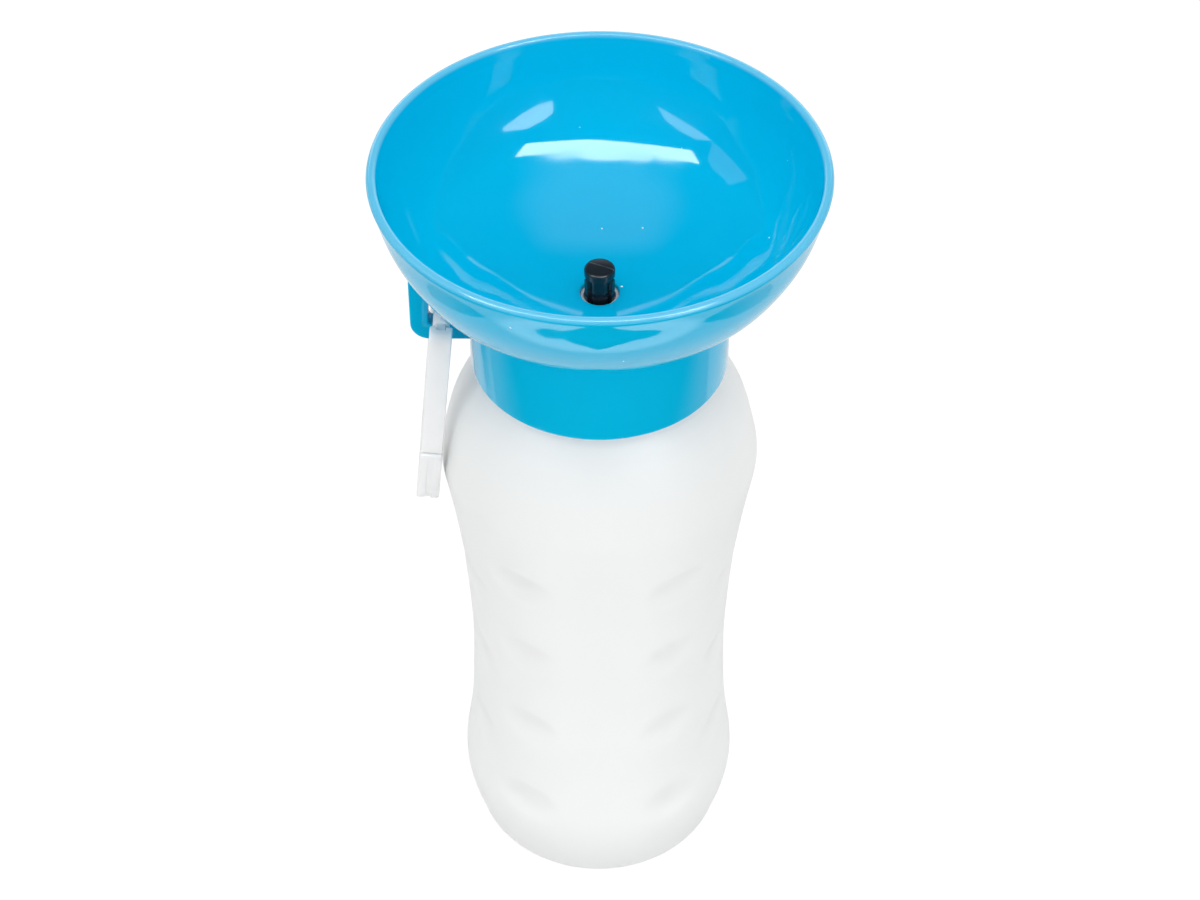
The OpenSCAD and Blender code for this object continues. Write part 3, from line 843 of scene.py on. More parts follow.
def make_dust_specks() -> bpy.types.NodeTree:
    """Makes the group that scatters small pale specks, as dust on a glossy piece.

    Returns:
        The group, with the mask of the specks as its output.
    """
    graph = Graph.group("dust_specks", "ShaderNodeTree", {
        "Place": ("Vector", None), "Scale": ("Float", 200.0), "Size": ("Float", 0.05),
        "Share": ("Float", 0.1)}, {"Mask": "Float"})
    start = graph.node("NodeGroupInput").outputs
    cells = graph.node("ShaderNodeTexVoronoi", {"Vector": start["Place"], "Scale": start["Scale"]})
    near = graph.math("LESS_THAN", cells.outputs["Distance"], start["Size"])
    pick = graph.node("ShaderNodeSeparateColor", {0: cells.outputs["Color"]}).outputs[0]
    mask = graph.math("MULTIPLY", near, graph.math("LESS_THAN", pick, start["Share"]))
    graph.node("NodeGroupOutput", {"Mask": mask})
    return graph.tree


def make_hairlines() -> bpy.types.NodeTree:
    """Makes the group that draws fine straight scratches across a piece.

    Returns:
        The group, with the mask of the scratches as its output.
    """
    graph = Graph.group("hairlines", "ShaderNodeTree", {
        "Place": ("Vector", None), "Turn": ("Float", 0.5), "Scale": ("Float", 900.0),
        "Amount": ("Float", 0.5)}, {"Mask": "Float"})
    start = graph.node("NodeGroupInput").outputs
    stretch, faint, full = (0.06, 1.0, 1.0), 0.6, 0.75
    turned = graph.node("ShaderNodeVectorRotate", {"Vector": start["Place"], "Angle": start["Turn"]},
                        rotation_type="Z_AXIS").outputs[0]
    stretched = graph.node("ShaderNodeVectorMath", {0: turned, 1: stretch}, operation="MULTIPLY").outputs[0]
    lines = graph.node("ShaderNodeTexNoise", {"Vector": stretched, "Scale": start["Scale"],
                                              "Detail": 1.0}).outputs[0]
    mask = graph.math("MULTIPLY", graph.ramp(lines, faint, full), start["Amount"])
    graph.node("NodeGroupOutput", {"Mask": mask})
    return graph.tree


class Effects:
    """The shader groups that the finishes share, each made once."""

    makers = {"tone_drift": make_tone_drift, "moulded_surface": make_moulded_surface,
              "dust_specks": make_dust_specks, "hairlines": make_hairlines}
    made: dict[str, bpy.types.NodeTree] = {}

    @classmethod
    def get(cls, name: str) -> bpy.types.NodeTree:
        """Gives a shared group, which is made the first time that it is asked for.

        Args:
            name: name of the group.

        Returns:
            The group.
        """
        if name not in cls.made:
            cls.made[name] = cls.makers[name]()
        return cls.made[name]


@dataclass(frozen=True)
class Moulded:
    """A moulded plastic or rubber, or drawn steel.

    Scales are per metre and heights in metres. The cloud that varies the roughness has its scale as a
    multiple of drift_scale.
    """

    name: str
    colour: tuple[float, float, float]
    roughness: float = 0.4
    roughness_drift: float = 0.03
    roughness_cloud: float = 2.3
    roughness_span: Point = (0.3, 0.7)
    drift: float = 0.02
    drift_scale: float = 35.0
    grain: float = 1.2e-6
    grain_scale: float = 2600.0
    ripple: float = 6e-6
    ripple_scale: float = 70.0
    specks: float = 0.0
    speck_scale: float = 190.0
    speck_size: float = 0.055
    speck_colour: tuple[float, float, float] = (0.75, 0.88, 0.95)
    speck_roughness: float = 0.5
    hairlines: float = 0.0
    hairline_turn: float = 0.45
    hairline_colour: tuple[float, float, float] = (0.12, 0.15, 0.17)
    hairline_roughness: float = 0.3
    hairline_z: float = 0.0
    hairline_blend: float = 0.0005
    # Painted highlight: the next three values tint the top of a piece paler above a height, standing in for
    # overhead light reflected on the bowl's rim
    painted_rim_highlight: tuple[float, float, float] | None = None
    painted_rim_highlight_z: float = 0.0
    painted_rim_highlight_blend: float = 0.001
    subsurface: float = 0.0
    subsurface_depth: float = 0.004
    metallic: float = 0.0
    ior: float = 1.49

    def material(self) -> bpy.types.Material:
        """Makes the material of this finish.

        Returns:
            The material.
        """
        material = bpy.data.materials.new(self.name)
        graph = Graph.emptied(material)
        place = graph.place()
        colour = graph.group_node(Effects.get("tone_drift"), {
            "Place": place, "Colour": (*self.colour, 1.0), "Scale": self.drift_scale,
            "Amount": self.drift}).outputs[0]
        # Painted highlight: above the given height the colour turns paler, in place of the light reflected on
        # the bowl's rim top
        if self.painted_rim_highlight:
            mask = graph.ramp(graph.part(place, 2), self.painted_rim_highlight_z - self.painted_rim_highlight_blend, self.painted_rim_highlight_z)
            colour = graph.tint(mask, colour, self.painted_rim_highlight)
        cloud = graph.node("ShaderNodeTexNoise", {
            "Vector": place, "Scale": self.roughness_cloud * self.drift_scale, "Detail": 4.0}).outputs[0]
        roughness = graph.ramp(cloud, *self.roughness_span, self.roughness - self.roughness_drift,
                               self.roughness + self.roughness_drift)
        if self.specks:
            mask = graph.group_node(Effects.get("dust_specks"), {
                "Place": place, "Scale": self.speck_scale, "Size": self.speck_size,
                "Share": self.specks}).outputs[0]
            colour = graph.tint(mask, colour, self.speck_colour)
            roughness = graph.math("ADD", roughness, graph.math("MULTIPLY", mask, self.speck_roughness))
        if self.hairlines:
            mask = graph.group_node(Effects.get("hairlines"), {
                "Place": place, "Turn": self.hairline_turn, "Amount": self.hairlines}).outputs[0]
            top = graph.ramp(graph.part(place, 2), self.hairline_z - self.hairline_blend, self.hairline_z)
            mask = graph.math("MULTIPLY", mask, top)
            colour = graph.tint(mask, colour, self.hairline_colour)
            roughness = graph.math("ADD", roughness, graph.math("MULTIPLY", mask, self.hairline_roughness))
        height = graph.group_node(Effects.get("moulded_surface"), {
            "Place": place, "Grain scale": self.grain_scale, "Grain": self.grain,
            "Ripple scale": self.ripple_scale, "Ripple": self.ripple}).outputs[0]
        bump = graph.node("ShaderNodeBump", {"Height": height, "Distance": 1.0, "Strength": 1.0})
        inputs = {"Base Color": colour, "Roughness": roughness, "Normal": bump.outputs[0],
                  "IOR": self.ior, "Metallic": self.metallic}
        if self.subsurface:
            inputs |= {"Subsurface Weight": self.subsurface, "Subsurface Scale": self.subsurface_depth,
                       "Subsurface Radius": (1.0, 1.0, 1.0)}
        shader = graph.node("ShaderNodeBsdfPrincipled", inputs)
        graph.node("ShaderNodeOutputMaterial", {"Surface": shader.outputs[0]})
        return material


FINISHES = {
    "bottle_plastic": Moulded("milky_bottle_plastic", (0.888, 0.9, 0.895), roughness=0.42, drift=0.012,
                              grain=1.6e-6, grain_scale=1800.0, ripple=2.0e-5, ripple_scale=38.0,
                              subsurface=0.2, subsurface_depth=0.003),
    # The blue finish paints a highlight: the bowl's rim top is tinted paler where overhead light would
    # reflect on it
    "blue_plastic": Moulded("sky_blue_plastic", (0.0, 0.455, 0.73), roughness=0.055, roughness_drift=0.02,
                            drift=0.015, grain=1.0e-7, ripple=1.4e-5, ripple_scale=50.0, specks=0.12,
                            painted_rim_highlight=(0.11, 0.48, 0.72), painted_rim_highlight_z=0.2343),
    "white_plastic": Moulded("satin_white_plastic", (0.88, 0.882, 0.885), roughness=0.38, subsurface=0.3,
                             subsurface_depth=0.003),
    "black_plastic": Moulded("black_plastic", (0.012, 0.018, 0.024), roughness=0.17, grain=7.0e-7,
                             hairlines=0.6, hairline_z=0.2023),
    "black_rubber": Moulded("black_rubber", (0.012, 0.012, 0.013), roughness=0.6, grain=4e-6),
    "silicone": Moulded("pale_silicone", (0.5, 0.53, 0.58), roughness=0.5, drift=0.03),
    "tube_plastic": Moulded("pale_tube_plastic", (0.75, 0.8, 0.82), roughness=0.3, drift=0.03),
    "steel": Moulded("drawn_steel", (0.55, 0.55, 0.56), roughness=0.3, grain=2.5e-6, grain_scale=1500.0,
                     metallic=1.0),
}


class Finishes:
    """The materials in use, by the slot of the record that each stands for."""

    made: dict[str, bpy.types.Material] = {}

    @classmethod
    def get(cls, slot: str) -> bpy.types.Material:
        """Gives the material of a slot, which is made the first time that it is asked for.

        Args:
            slot: the record's material slot.

        Returns:
            The material.
        """
        if slot not in cls.made:
            cls.made[slot] = FINISHES[slot].material()
        return cls.made[slot]


def settle(piece: bpy.types.Object, body: Body, slot: str, *nodes: str) -> bpy.types.Object:
    """Puts a finished piece on its body, in place of its frame nodes.

    Args:
        piece: the piece.
        body: the body that it moves with.
        slot: the record's material slot that gives its finish.
        *nodes: the frame nodes that it stands for.

    Returns:
        The piece.
    """
    piece.data.materials.clear()
    piece.data.materials.append(Finishes.get(slot))
    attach(piece, body.value)
    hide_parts(*nodes)
    log.info("%s: %d faces, on %s, %s", piece.name, len(piece.data.polygons), body.value, slot)
    return piece


def dress(node: str, slot: str) -> None:
    """Gives a frame node that keeps its own shape its finish.

    Args:
        node: the frame node.
        slot: the record's material slot that gives its finish.
    """
    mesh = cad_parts[node].data
    mesh.materials.clear()
    mesh.materials.append(Finishes.get(slot))
    log.info("%s: frame node, %s", node, slot)


# The object

@dataclass
class SqueezeBottle:
    """The blow-moulded bottle with its neck, thread and finger grooves.

    Its lines are shares of the way between the measured places: across first, then up.
    """

    rim_z: float = 193.5
    neck_r: float = 27.4
    neck_h: float = 21.5
    foot_r: float = 32.2
    foot_corner_r: float = 3.5
    heel: Point = (38.9, 18.0)
    waist: Point = (35.6, 70.7)
    shoulder: Point = (42.1, 141.5)
    heel_line: tuple[Point, ...] = ((0.55, 0.42),)
    waist_line: tuple[Point, ...] = ((1, 1), (0.5, 0.675), (0.13, 0.34))
    chest_line: tuple[Point, ...] = ((0.1, 0.25), (0.3, 0.5), (0.63, 0.75), (0.9, 0.91), (1, 1))
    neck_line: tuple[Point, ...] = ((0.925, 0.2), (0.79, 0.46), (0.57, 0.68), (0.28, 0.87), (0, 1))
    pushup_line: tuple[Point, ...] = ((0, 1), (0.35, 0.93), (0.75, 0.5), (0.96, 0.08), (1, 0))
    wall: float = 1.8
    pushup_h: float = 4.0
    floor_ring_w: float = 5.0
    rim_round: float = 0.4
    neck_root: float = 0.5
    groove_cut_r: float = 15.0
    groove_depth: float = 1.0
    groove_pitch: float = 28.8
    groove_rows: int = 4
    groove_z: float = 31.5
    groove_columns: tuple[float, float] = (33.5, 67.0)
    groove_soft: float = 1.0
    thread_pitch: float = 4.0
    thread_turns: float = 1.5
    thread_depth: float = 2.0
    thread_drop: float = 11.5
    thread_gap: float = 0.55
    thread_base: float = 0.62
    thread_crest: float = 0.26
    thread_row: float = 0.4
    row: float = 0.9
    pushup_row: float = 1.5
    segments: int = 256

    def body_line(self) -> Outline:
        """Draws the outside of the body.

        Returns:
            Its line from the corner of the base up to the root of the neck.
        """
        heel_r, heel_z = self.heel
        waist_r, waist_z = self.waist
        shoulder_r, shoulder_z = self.shoulder
        foot = self.foot_r + self.foot_corner_r
        root_z = self.rim_z - self.neck_h
        start = [(lerp(foot, heel_r, a), lerp(self.foot_corner_r, heel_z, b)) for a, b in self.heel_line]
        low = [(waist_r + a * (heel_r - waist_r), lerp(waist_z, heel_z, b)) for a, b in self.waist_line]
        high = [(waist_r + a * (shoulder_r - waist_r), lerp(waist_z, shoulder_z, b))
                for a, b in self.chest_line]
        top = [(lerp(self.neck_r, shoulder_r, a), lerp(shoulder_z, root_z, b)) for a, b in self.neck_line]
        return fair_line([(foot, self.foot_corner_r)] + start + low + [self.waist] + high + top, self.row)

    def outline(self) -> Outline:
        """Draws the whole section.

        Returns:
            The line from the middle of the base up the outside and back down inside.
        """
        body = self.body_line()
        corner = (self.foot_r, self.foot_corner_r)
        outside = arc(corner, self.foot_corner_r, -90, -10, 8) + body
        inside = arc(corner, self.foot_corner_r - self.wall, -90, -10, 4) + moved(body, self.wall)[::4]
        neck_in = self.neck_r - self.wall
        ring_r = self.foot_r - self.floor_ring_w
        edge_z = self.rim_z - self.rim_round
        neck = split_up([(self.neck_r, self.rim_z - self.neck_h + self.neck_root), (self.neck_r, edge_z)],
                        self.thread_row)
        rim = arc((self.neck_r - self.rim_round, edge_z), self.rim_round, 0, 90, 3) + arc(
            (neck_in + self.rim_round, edge_z), self.rim_round, 90, 180, 3)
        dome = fair_line([(a * ring_r, b * self.pushup_h) for a, b in self.pushup_line], self.pushup_row)
        floor = [(r, z + self.wall) for r, z in reversed(dome)]
        return dome + outside + neck + rim + list(reversed(inside)) + floor

    def grooves(self) -> list[tuple[str, dict[str, float]]]:
        """Places the finger grooves: rows in the front column, and between them in the side column.

        Returns:
            The grooves as forms for the lathe.
        """
        body = self.body_line()
        cuts = []
        for column, turn in enumerate(self.groove_columns):
            for row in range(self.groove_rows - column):
                level = self.groove_z + (row + column / 2) * self.groove_pitch
                reach = radius_at(body, level) - self.groove_depth + self.groove_cut_r
                cuts.append(("groove", {
                    "Column": math.radians(turn), "Level": level * MM, "Reach": reach * MM,
                    "Cutter": self.groove_cut_r * MM, "Softness": self.groove_soft * MM}))
        return cuts

    def thread(self, wall: float, start: float, ridge: float) -> tuple[str, dict[str, float]]:
        """Gives a thread ridge that fits this neck.

        Args:
            wall: radius of the wall that it stands on, in millimetres.
            start: height of its start.
            ridge: its height, below zero where it stands inwards.

        Returns:
            The ridge as a form for the lathe.
        """
        return "thread", {"Wall": wall * MM, "Start": start * MM, "Pitch": self.thread_pitch * MM,
                          "Turns": self.thread_turns, "Ridge": ridge * MM,
                          "Base": self.thread_base * self.thread_pitch * MM,
                          "Crest": self.thread_crest * self.thread_pitch * MM}

    def build(self) -> None:
        """Builds the bottle."""
        ridge = self.thread(self.neck_r, self.rim_z - self.thread_drop, self.thread_depth)
        shell = Turning.lathe("bottle_shell", self.outline(), False, self.segments,
                              Finishes.get("bottle_plastic"), self.grooves() + [ridge])
        settle(shell, Body.BOTTLE, "bottle_plastic", "bottle")


@dataclass
class Bowl:
    """The drinking bowl on the cap.

    The lines of its side and dish are shares: across first, then up.
    """

    collar_r: float
    collar_top_z: float
    rim_z: float
    neck_in_r: float
    radius: float = 57.2
    height: float = 35.5
    overhang: float = 2.2
    wall: float = 2.0
    lip_w: float = 2.4
    lip_h: float = 3.0
    lip_round: float = 1.2
    lip_in_round: float = 0.9
    floor_r: float = 44.0
    floor_blend: float = 1.5
    floor_over_rim: float = 0.8
    floor_t: float = 2.0
    foot_round: float = 0.35
    hole_r: float = 4.96
    hole_h: float = 3.9
    hole_round: float = 0.3
    collar_shell: float = 2.0
    seat_over_rim: float = 1.5
    seat_in: float = 4.0
    skirt_w: float = 2.4
    skirt_h: float = 0.9
    skirt_round: float = 0.25
    boss_r: float = 8.55
    boss_bore_r: float = 7.0
    boss_h: float = 11.3
    boss_root: Point = (1.5, 0.6)
    boss_round: float = 0.3
    row: float = 0.8
    segments: int = 288
    side: tuple[Point, ...] = ((0, 0), (0.18, 0.1), (0.38, 0.215), (0.58, 0.35), (0.735, 0.5), (0.85, 0.65),
                               (0.925, 0.8), (0.97, 0.91), (1, 0.97))
    dish: tuple[Point, ...] = ((0.93, 0.855), (0.78, 0.585), (0.62, 0.365), (0.42, 0.155), (0.2, 0.035),
                               (0.06, 0.004), (0, 0))

    def __post_init__(self) -> None:
        """Works out the places that other pieces use."""
        self.top_z = self.collar_top_z + self.height
        self.floor_z = self.rim_z + self.floor_over_rim
        self.foot_r = self.collar_r + self.overhang

    def outside(self) -> Outline:
        """Returns the outside of the wall, from the foot to below the lip."""
        return fair_line([(lerp(self.foot_r, self.radius, a), lerp(self.collar_top_z, self.top_z, b))
                          for a, b in self.side], self.row)

    def inside(self) -> Outline:
        """Draws the inside.

        Returns:
            The line from below the lip down the wall and across the dished floor to its hole.
        """
        wall = moved(self.outside(), self.wall)
        edge_z = height_at(wall, self.floor_r)
        stations = [(r, z) for r, z in wall
                    if r > self.floor_r + self.floor_blend and z < self.top_z - self.lip_h][::-5]
        floor = [(lerp(self.hole_r + self.hole_round, self.floor_r, a), lerp(self.floor_z, edge_z, b))
                 for a, b in ((1.0, 1.0),) + self.dish]
        return fair_line(stations + floor, self.row)

    def outline(self) -> Outline:
        """Draws the whole section.

        Returns:
            The line as a closed ring, from the foot up the outside.
        """
        seat_z = self.rim_z + self.seat_over_rim
        skirt_z = seat_z - self.skirt_h
        skirt_out = self.collar_r - self.collar_shell
        skirt_in = skirt_out - self.skirt_w
        under_z = self.floor_z - self.floor_t
        hole_z = self.floor_z - self.hole_h
        boss_z = self.floor_z - self.boss_h
        root_w, root_h = self.boss_root
        lip = arc((self.radius - self.lip_round, self.top_z - self.lip_round), self.lip_round, 15, 90, 6)
        lip += arc((self.radius - self.lip_w + self.lip_in_round, self.top_z - self.lip_in_round),
                   self.lip_in_round, 90, 175, 5)
        hole = arc((self.hole_r + self.hole_round, self.floor_z - self.hole_round), self.hole_round,
                   90, 180, 3)
        below = rounded([(self.hole_r, hole_z), (self.boss_bore_r, hole_z), (self.boss_bore_r, boss_z),
                         (self.boss_r, boss_z), (self.boss_r, under_z - root_h),
                         (self.boss_r + root_w, under_z), (self.neck_in_r - self.seat_in, seat_z),
                         (skirt_in, seat_z), (skirt_in, skirt_z), (skirt_out, skirt_z),
                         (skirt_out, self.collar_top_z)],
                        {3: self.boss_round, 8: self.skirt_round, 9: self.skirt_round})
        foot = arc((self.foot_r - self.foot_round, self.collar_top_z + self.foot_round), self.foot_round,
                   -90, -35, 4)
        return foot + self.outside()[2:] + lip + self.inside() + hole[1:] + below

    def build(self) -> None:
        """Builds the bowl."""
        piece = Turning.lathe("drinking_bowl", self.outline(), True, self.segments,
                              Finishes.get("blue_plastic"))
        settle(piece, Body.CAP, "blue_plastic", "bowl")


@dataclass
class Collar:
    """The screw ring with the ear that carries the hook."""

    bottle: SqueezeBottle
    bowl: Bowl
    radius: float
    top_z: float
    height: float = 25.2
    edge: float = 0.6
    top_edge: float = 0.2
    skirt_over_rim: float = 0.6
    skirt_gap: float = 0.05
    ear_out: float = 15.1
    ear_t: float = 5.0
    ear_drop: float = 18.9
    ear_rise: float = 2.9
    ear_limb: float = 4.7
    ear_hole_h: float = 10.3
    ear_edge: float = 0.5
    ear_root: float = 1.0
    ear_step: float = 0.4
    ear_gap: float = 0.3
    ear_low_r: float = 5.0
    ear_top_r: float = 3.0
    window_gap: float = 1.2
    window_r: float = 1.6
    window_flare: tuple[float, float, float] = (0.3, 0.2, 0.3)
    segments: int = 256

    def ring(self) -> bpy.types.Object:
        """Turns the ring, with its thread inside.

        Returns:
            The ring.
        """
        bottle = self.bottle
        bore = bottle.neck_r + bottle.thread_depth + bottle.thread_gap
        low = self.top_z - self.height
        skirt_z = bottle.rim_z + self.skirt_over_rim - self.skirt_gap
        skirt_r = self.radius - self.bowl.collar_shell + self.skirt_gap
        inside = split_up([(bore, skirt_z), (bore, low + self.edge)], bottle.thread_row)
        outer = rounded([(bore, low), (self.radius, low), (self.radius, self.top_z), (skirt_r, self.top_z),
                         (skirt_r, skirt_z)], {0: self.edge, 1: self.edge, 2: self.top_edge}, 5)
        start = bottle.rim_z - bottle.thread_drop - bottle.thread_pitch / 2
        ridge = bottle.thread(bore, start, bottle.neck_r + bottle.thread_gap - bore)
        return Turning.lathe("screw_collar", outer + inside[:-1], True, self.segments,
                             Finishes.get("blue_plastic"), [ridge])

    def ear(self) -> bpy.types.Object:
        """Makes the plate that stands out from the ring, with its window.

        Returns:
            The ear.
        """
        reach = self.radius + self.ear_out
        low, top = self.top_z - self.ear_drop, self.top_z + self.ear_rise
        root, step_z = -self.radius + self.ear_root, self.top_z - self.ear_step
        wall_r = radius_at(self.bowl.outside(), top)
        outline = rounded([(-reach, low), (root, low), (root, step_z),
                           (-self.bowl.foot_r - self.ear_gap, step_z), (-wall_r - self.ear_gap, top),
                           (-reach, top)], {0: self.ear_low_r, 5: self.ear_top_r}, 10)
        far, near = -reach + self.ear_limb, -self.radius - self.window_gap
        hole_low = low + self.ear_limb
        hole_top = hole_low + self.ear_hole_h
        window = rounded([(far, hole_low), (near, hole_low), (near, hole_top), (far, hole_top)],
                         {i: self.window_r for i in range(4)}, 6)
        body = plate("ear", outline, slices(self.ear_t, self.ear_edge))
        half = self.ear_t / 2
        out, more, share = self.window_flare
        flare = [Slice(-half - out, -self.ear_edge - more), Slice(-half, -self.ear_edge),
                 Slice(-half + share * self.ear_edge, -share * self.ear_edge), Slice(-half + self.ear_edge)]
        cutter = plate("window", window, flare + [Slice(-s.place, s.inset) for s in reversed(flare)])
        across = Matrix.Rotation(math.radians(-90), 4, "Z")
        return worked(set_down(body, across), Join.CUT, set_down(cutter, across))

    def build(self) -> None:
        """Builds the collar with its ear."""
        piece = worked(self.ring(), Join.ADD, self.ear())
        settle(smoothed(piece), Body.CAP, "blue_plastic", "collar")


@dataclass
class Cap:
    """What screws on the bottle: the collar, with the bowl fixed on top of it."""

    bottle: SqueezeBottle
    collar_wall: float = 3.45
    collar_over_rim: float = 5.6

    def __post_init__(self) -> None:
        """Works out the collar's size, and the bowl that stands on it."""
        bottle = self.bottle
        self.radius = bottle.neck_r + bottle.thread_depth + bottle.thread_gap + self.collar_wall
        self.collar_top_z = bottle.rim_z + self.collar_over_rim
        self.bowl = Bowl(self.radius, self.collar_top_z, bottle.rim_z, bottle.neck_r - bottle.wall)

    def build(self) -> None:
        """Builds the bowl and the collar."""
        self.bowl.build()
        Collar(self.bottle, self.bowl, self.radius, self.collar_top_z).build()


@dataclass
class Valve:
    """The push-pull valve: the black stem, and the pale pieces that it slides in."""

    floor_z: float
    travel: float = 8.2
    head_r: float = 3.95
    head_t: float = 2.3
    head_round: float = 0.75
    core_r: float = 3.1
    core_round: float = 0.5
    ribs: int = 3
    rib_w: float = 1.5
    rib_in: float = 2.3
    rib_step: float = 0.15
    rib_sunk: float = 0.5
    land_step: float = 1.0
    land_t: float = 1.4
    groove_h: float = 1.6
    groove_r: float = 3.59
    stem_wall: float = 1.2
    bore_drop: float = 3.1
    land_drop: float = 5.5
    land_gap: float = 0.06
    neck_taper: float = 0.5
    step_round: float = 0.2
    head_low_round: float = 0.15
    port_r: float = 0.9
    port_drop: float = 4.0
    port_start: float = 1.2
    segments: int = 128

    def __post_init__(self) -> None:
        """Works out the heights."""
        self.top_z = self.floor_z + self.travel
        self.rib_top = self.top_z - self.head_t
        self.land_top = self.floor_z - self.land_drop
        self.bottom = self.land_top - 2 * self.land_t - self.groove_h

    def stem(self) -> bpy.types.Object:
        """Turns the stem with its head, lands and bore.

        Returns:
            The stem without its ribs and ports.
        """
        land = self.head_r + self.rib_step + self.land_step - self.land_gap
        bore = self.core_r - self.stem_wall
        bore_z = self.floor_z - self.bore_drop
        mid = self.bottom + self.land_t
        outline = rounded([
            (0, bore_z), (bore, bore_z), (bore, self.bottom), (land, self.bottom),
            (land, mid), (self.groove_r, mid), (self.groove_r, mid + self.groove_h),
            (land, mid + self.groove_h), (land, self.land_top), (self.core_r, self.land_top),
            (self.core_r, self.rib_top - self.neck_taper), (self.head_r, self.rib_top),
            (self.head_r, self.top_z), (0, self.top_z)],
            {3: self.step_round, 8: self.step_round, 9: self.core_round, 11: self.head_low_round,
             12: self.head_round}, 6)
        return Turning.lathe("valve_nozzle", outline, False, self.segments, Finishes.get("black_plastic"))

    def rib(self) -> bpy.types.Object:
        """Makes one rib along +X, with its round top.

        Returns:
            The rib, which reaches into the core and the land below it.
        """
        half = self.rib_w / 2
        low = self.land_top - self.rib_sunk
        outline = [(-half, low), (half, low)] + arc((0, self.rib_top - half), half, 0, 180, 12)
        blank = plate("rib", outline, [Slice(self.rib_in), Slice(self.head_r + OVERSHOOT)])
        limit = rod("rib_limit", self.head_r + self.rib_step, self.land_top - OVERSHOOT,
                    self.rib_top + 2 * OVERSHOOT, segments=self.segments)
        return worked(blank, Join.KEEP, limit)

    def build(self) -> None:
        """Builds the stem and dresses the pieces round it."""
        back = 90.0
        ribs = ring_of(self.rib(), self.ribs, back)
        port = set_down(rod("port", self.port_r, self.port_start, 2 * self.head_r, segments=32),
                        Matrix.Translation((0, 0, (self.floor_z - self.port_drop) * MM)),
                        Matrix.Rotation(math.radians(90), 4, "Y"))
        ports = ring_of(port, self.ribs, back + 180.0 / self.ribs)
        piece = worked(worked(self.stem(), Join.ADD, ribs), Join.CUT, ports)
        settle(smoothed(piece), Body.VALVE, "black_plastic", "valve_stem")
        dress("stem_o_ring", "black_rubber")
        dress("valve_seat", "silicone")
        dress("valve_housing", "white_plastic")
        dress("housing_cap", "white_plastic")
        dress("dip_tube", "tube_plastic")
        dress("neck_gasket", "silicone")


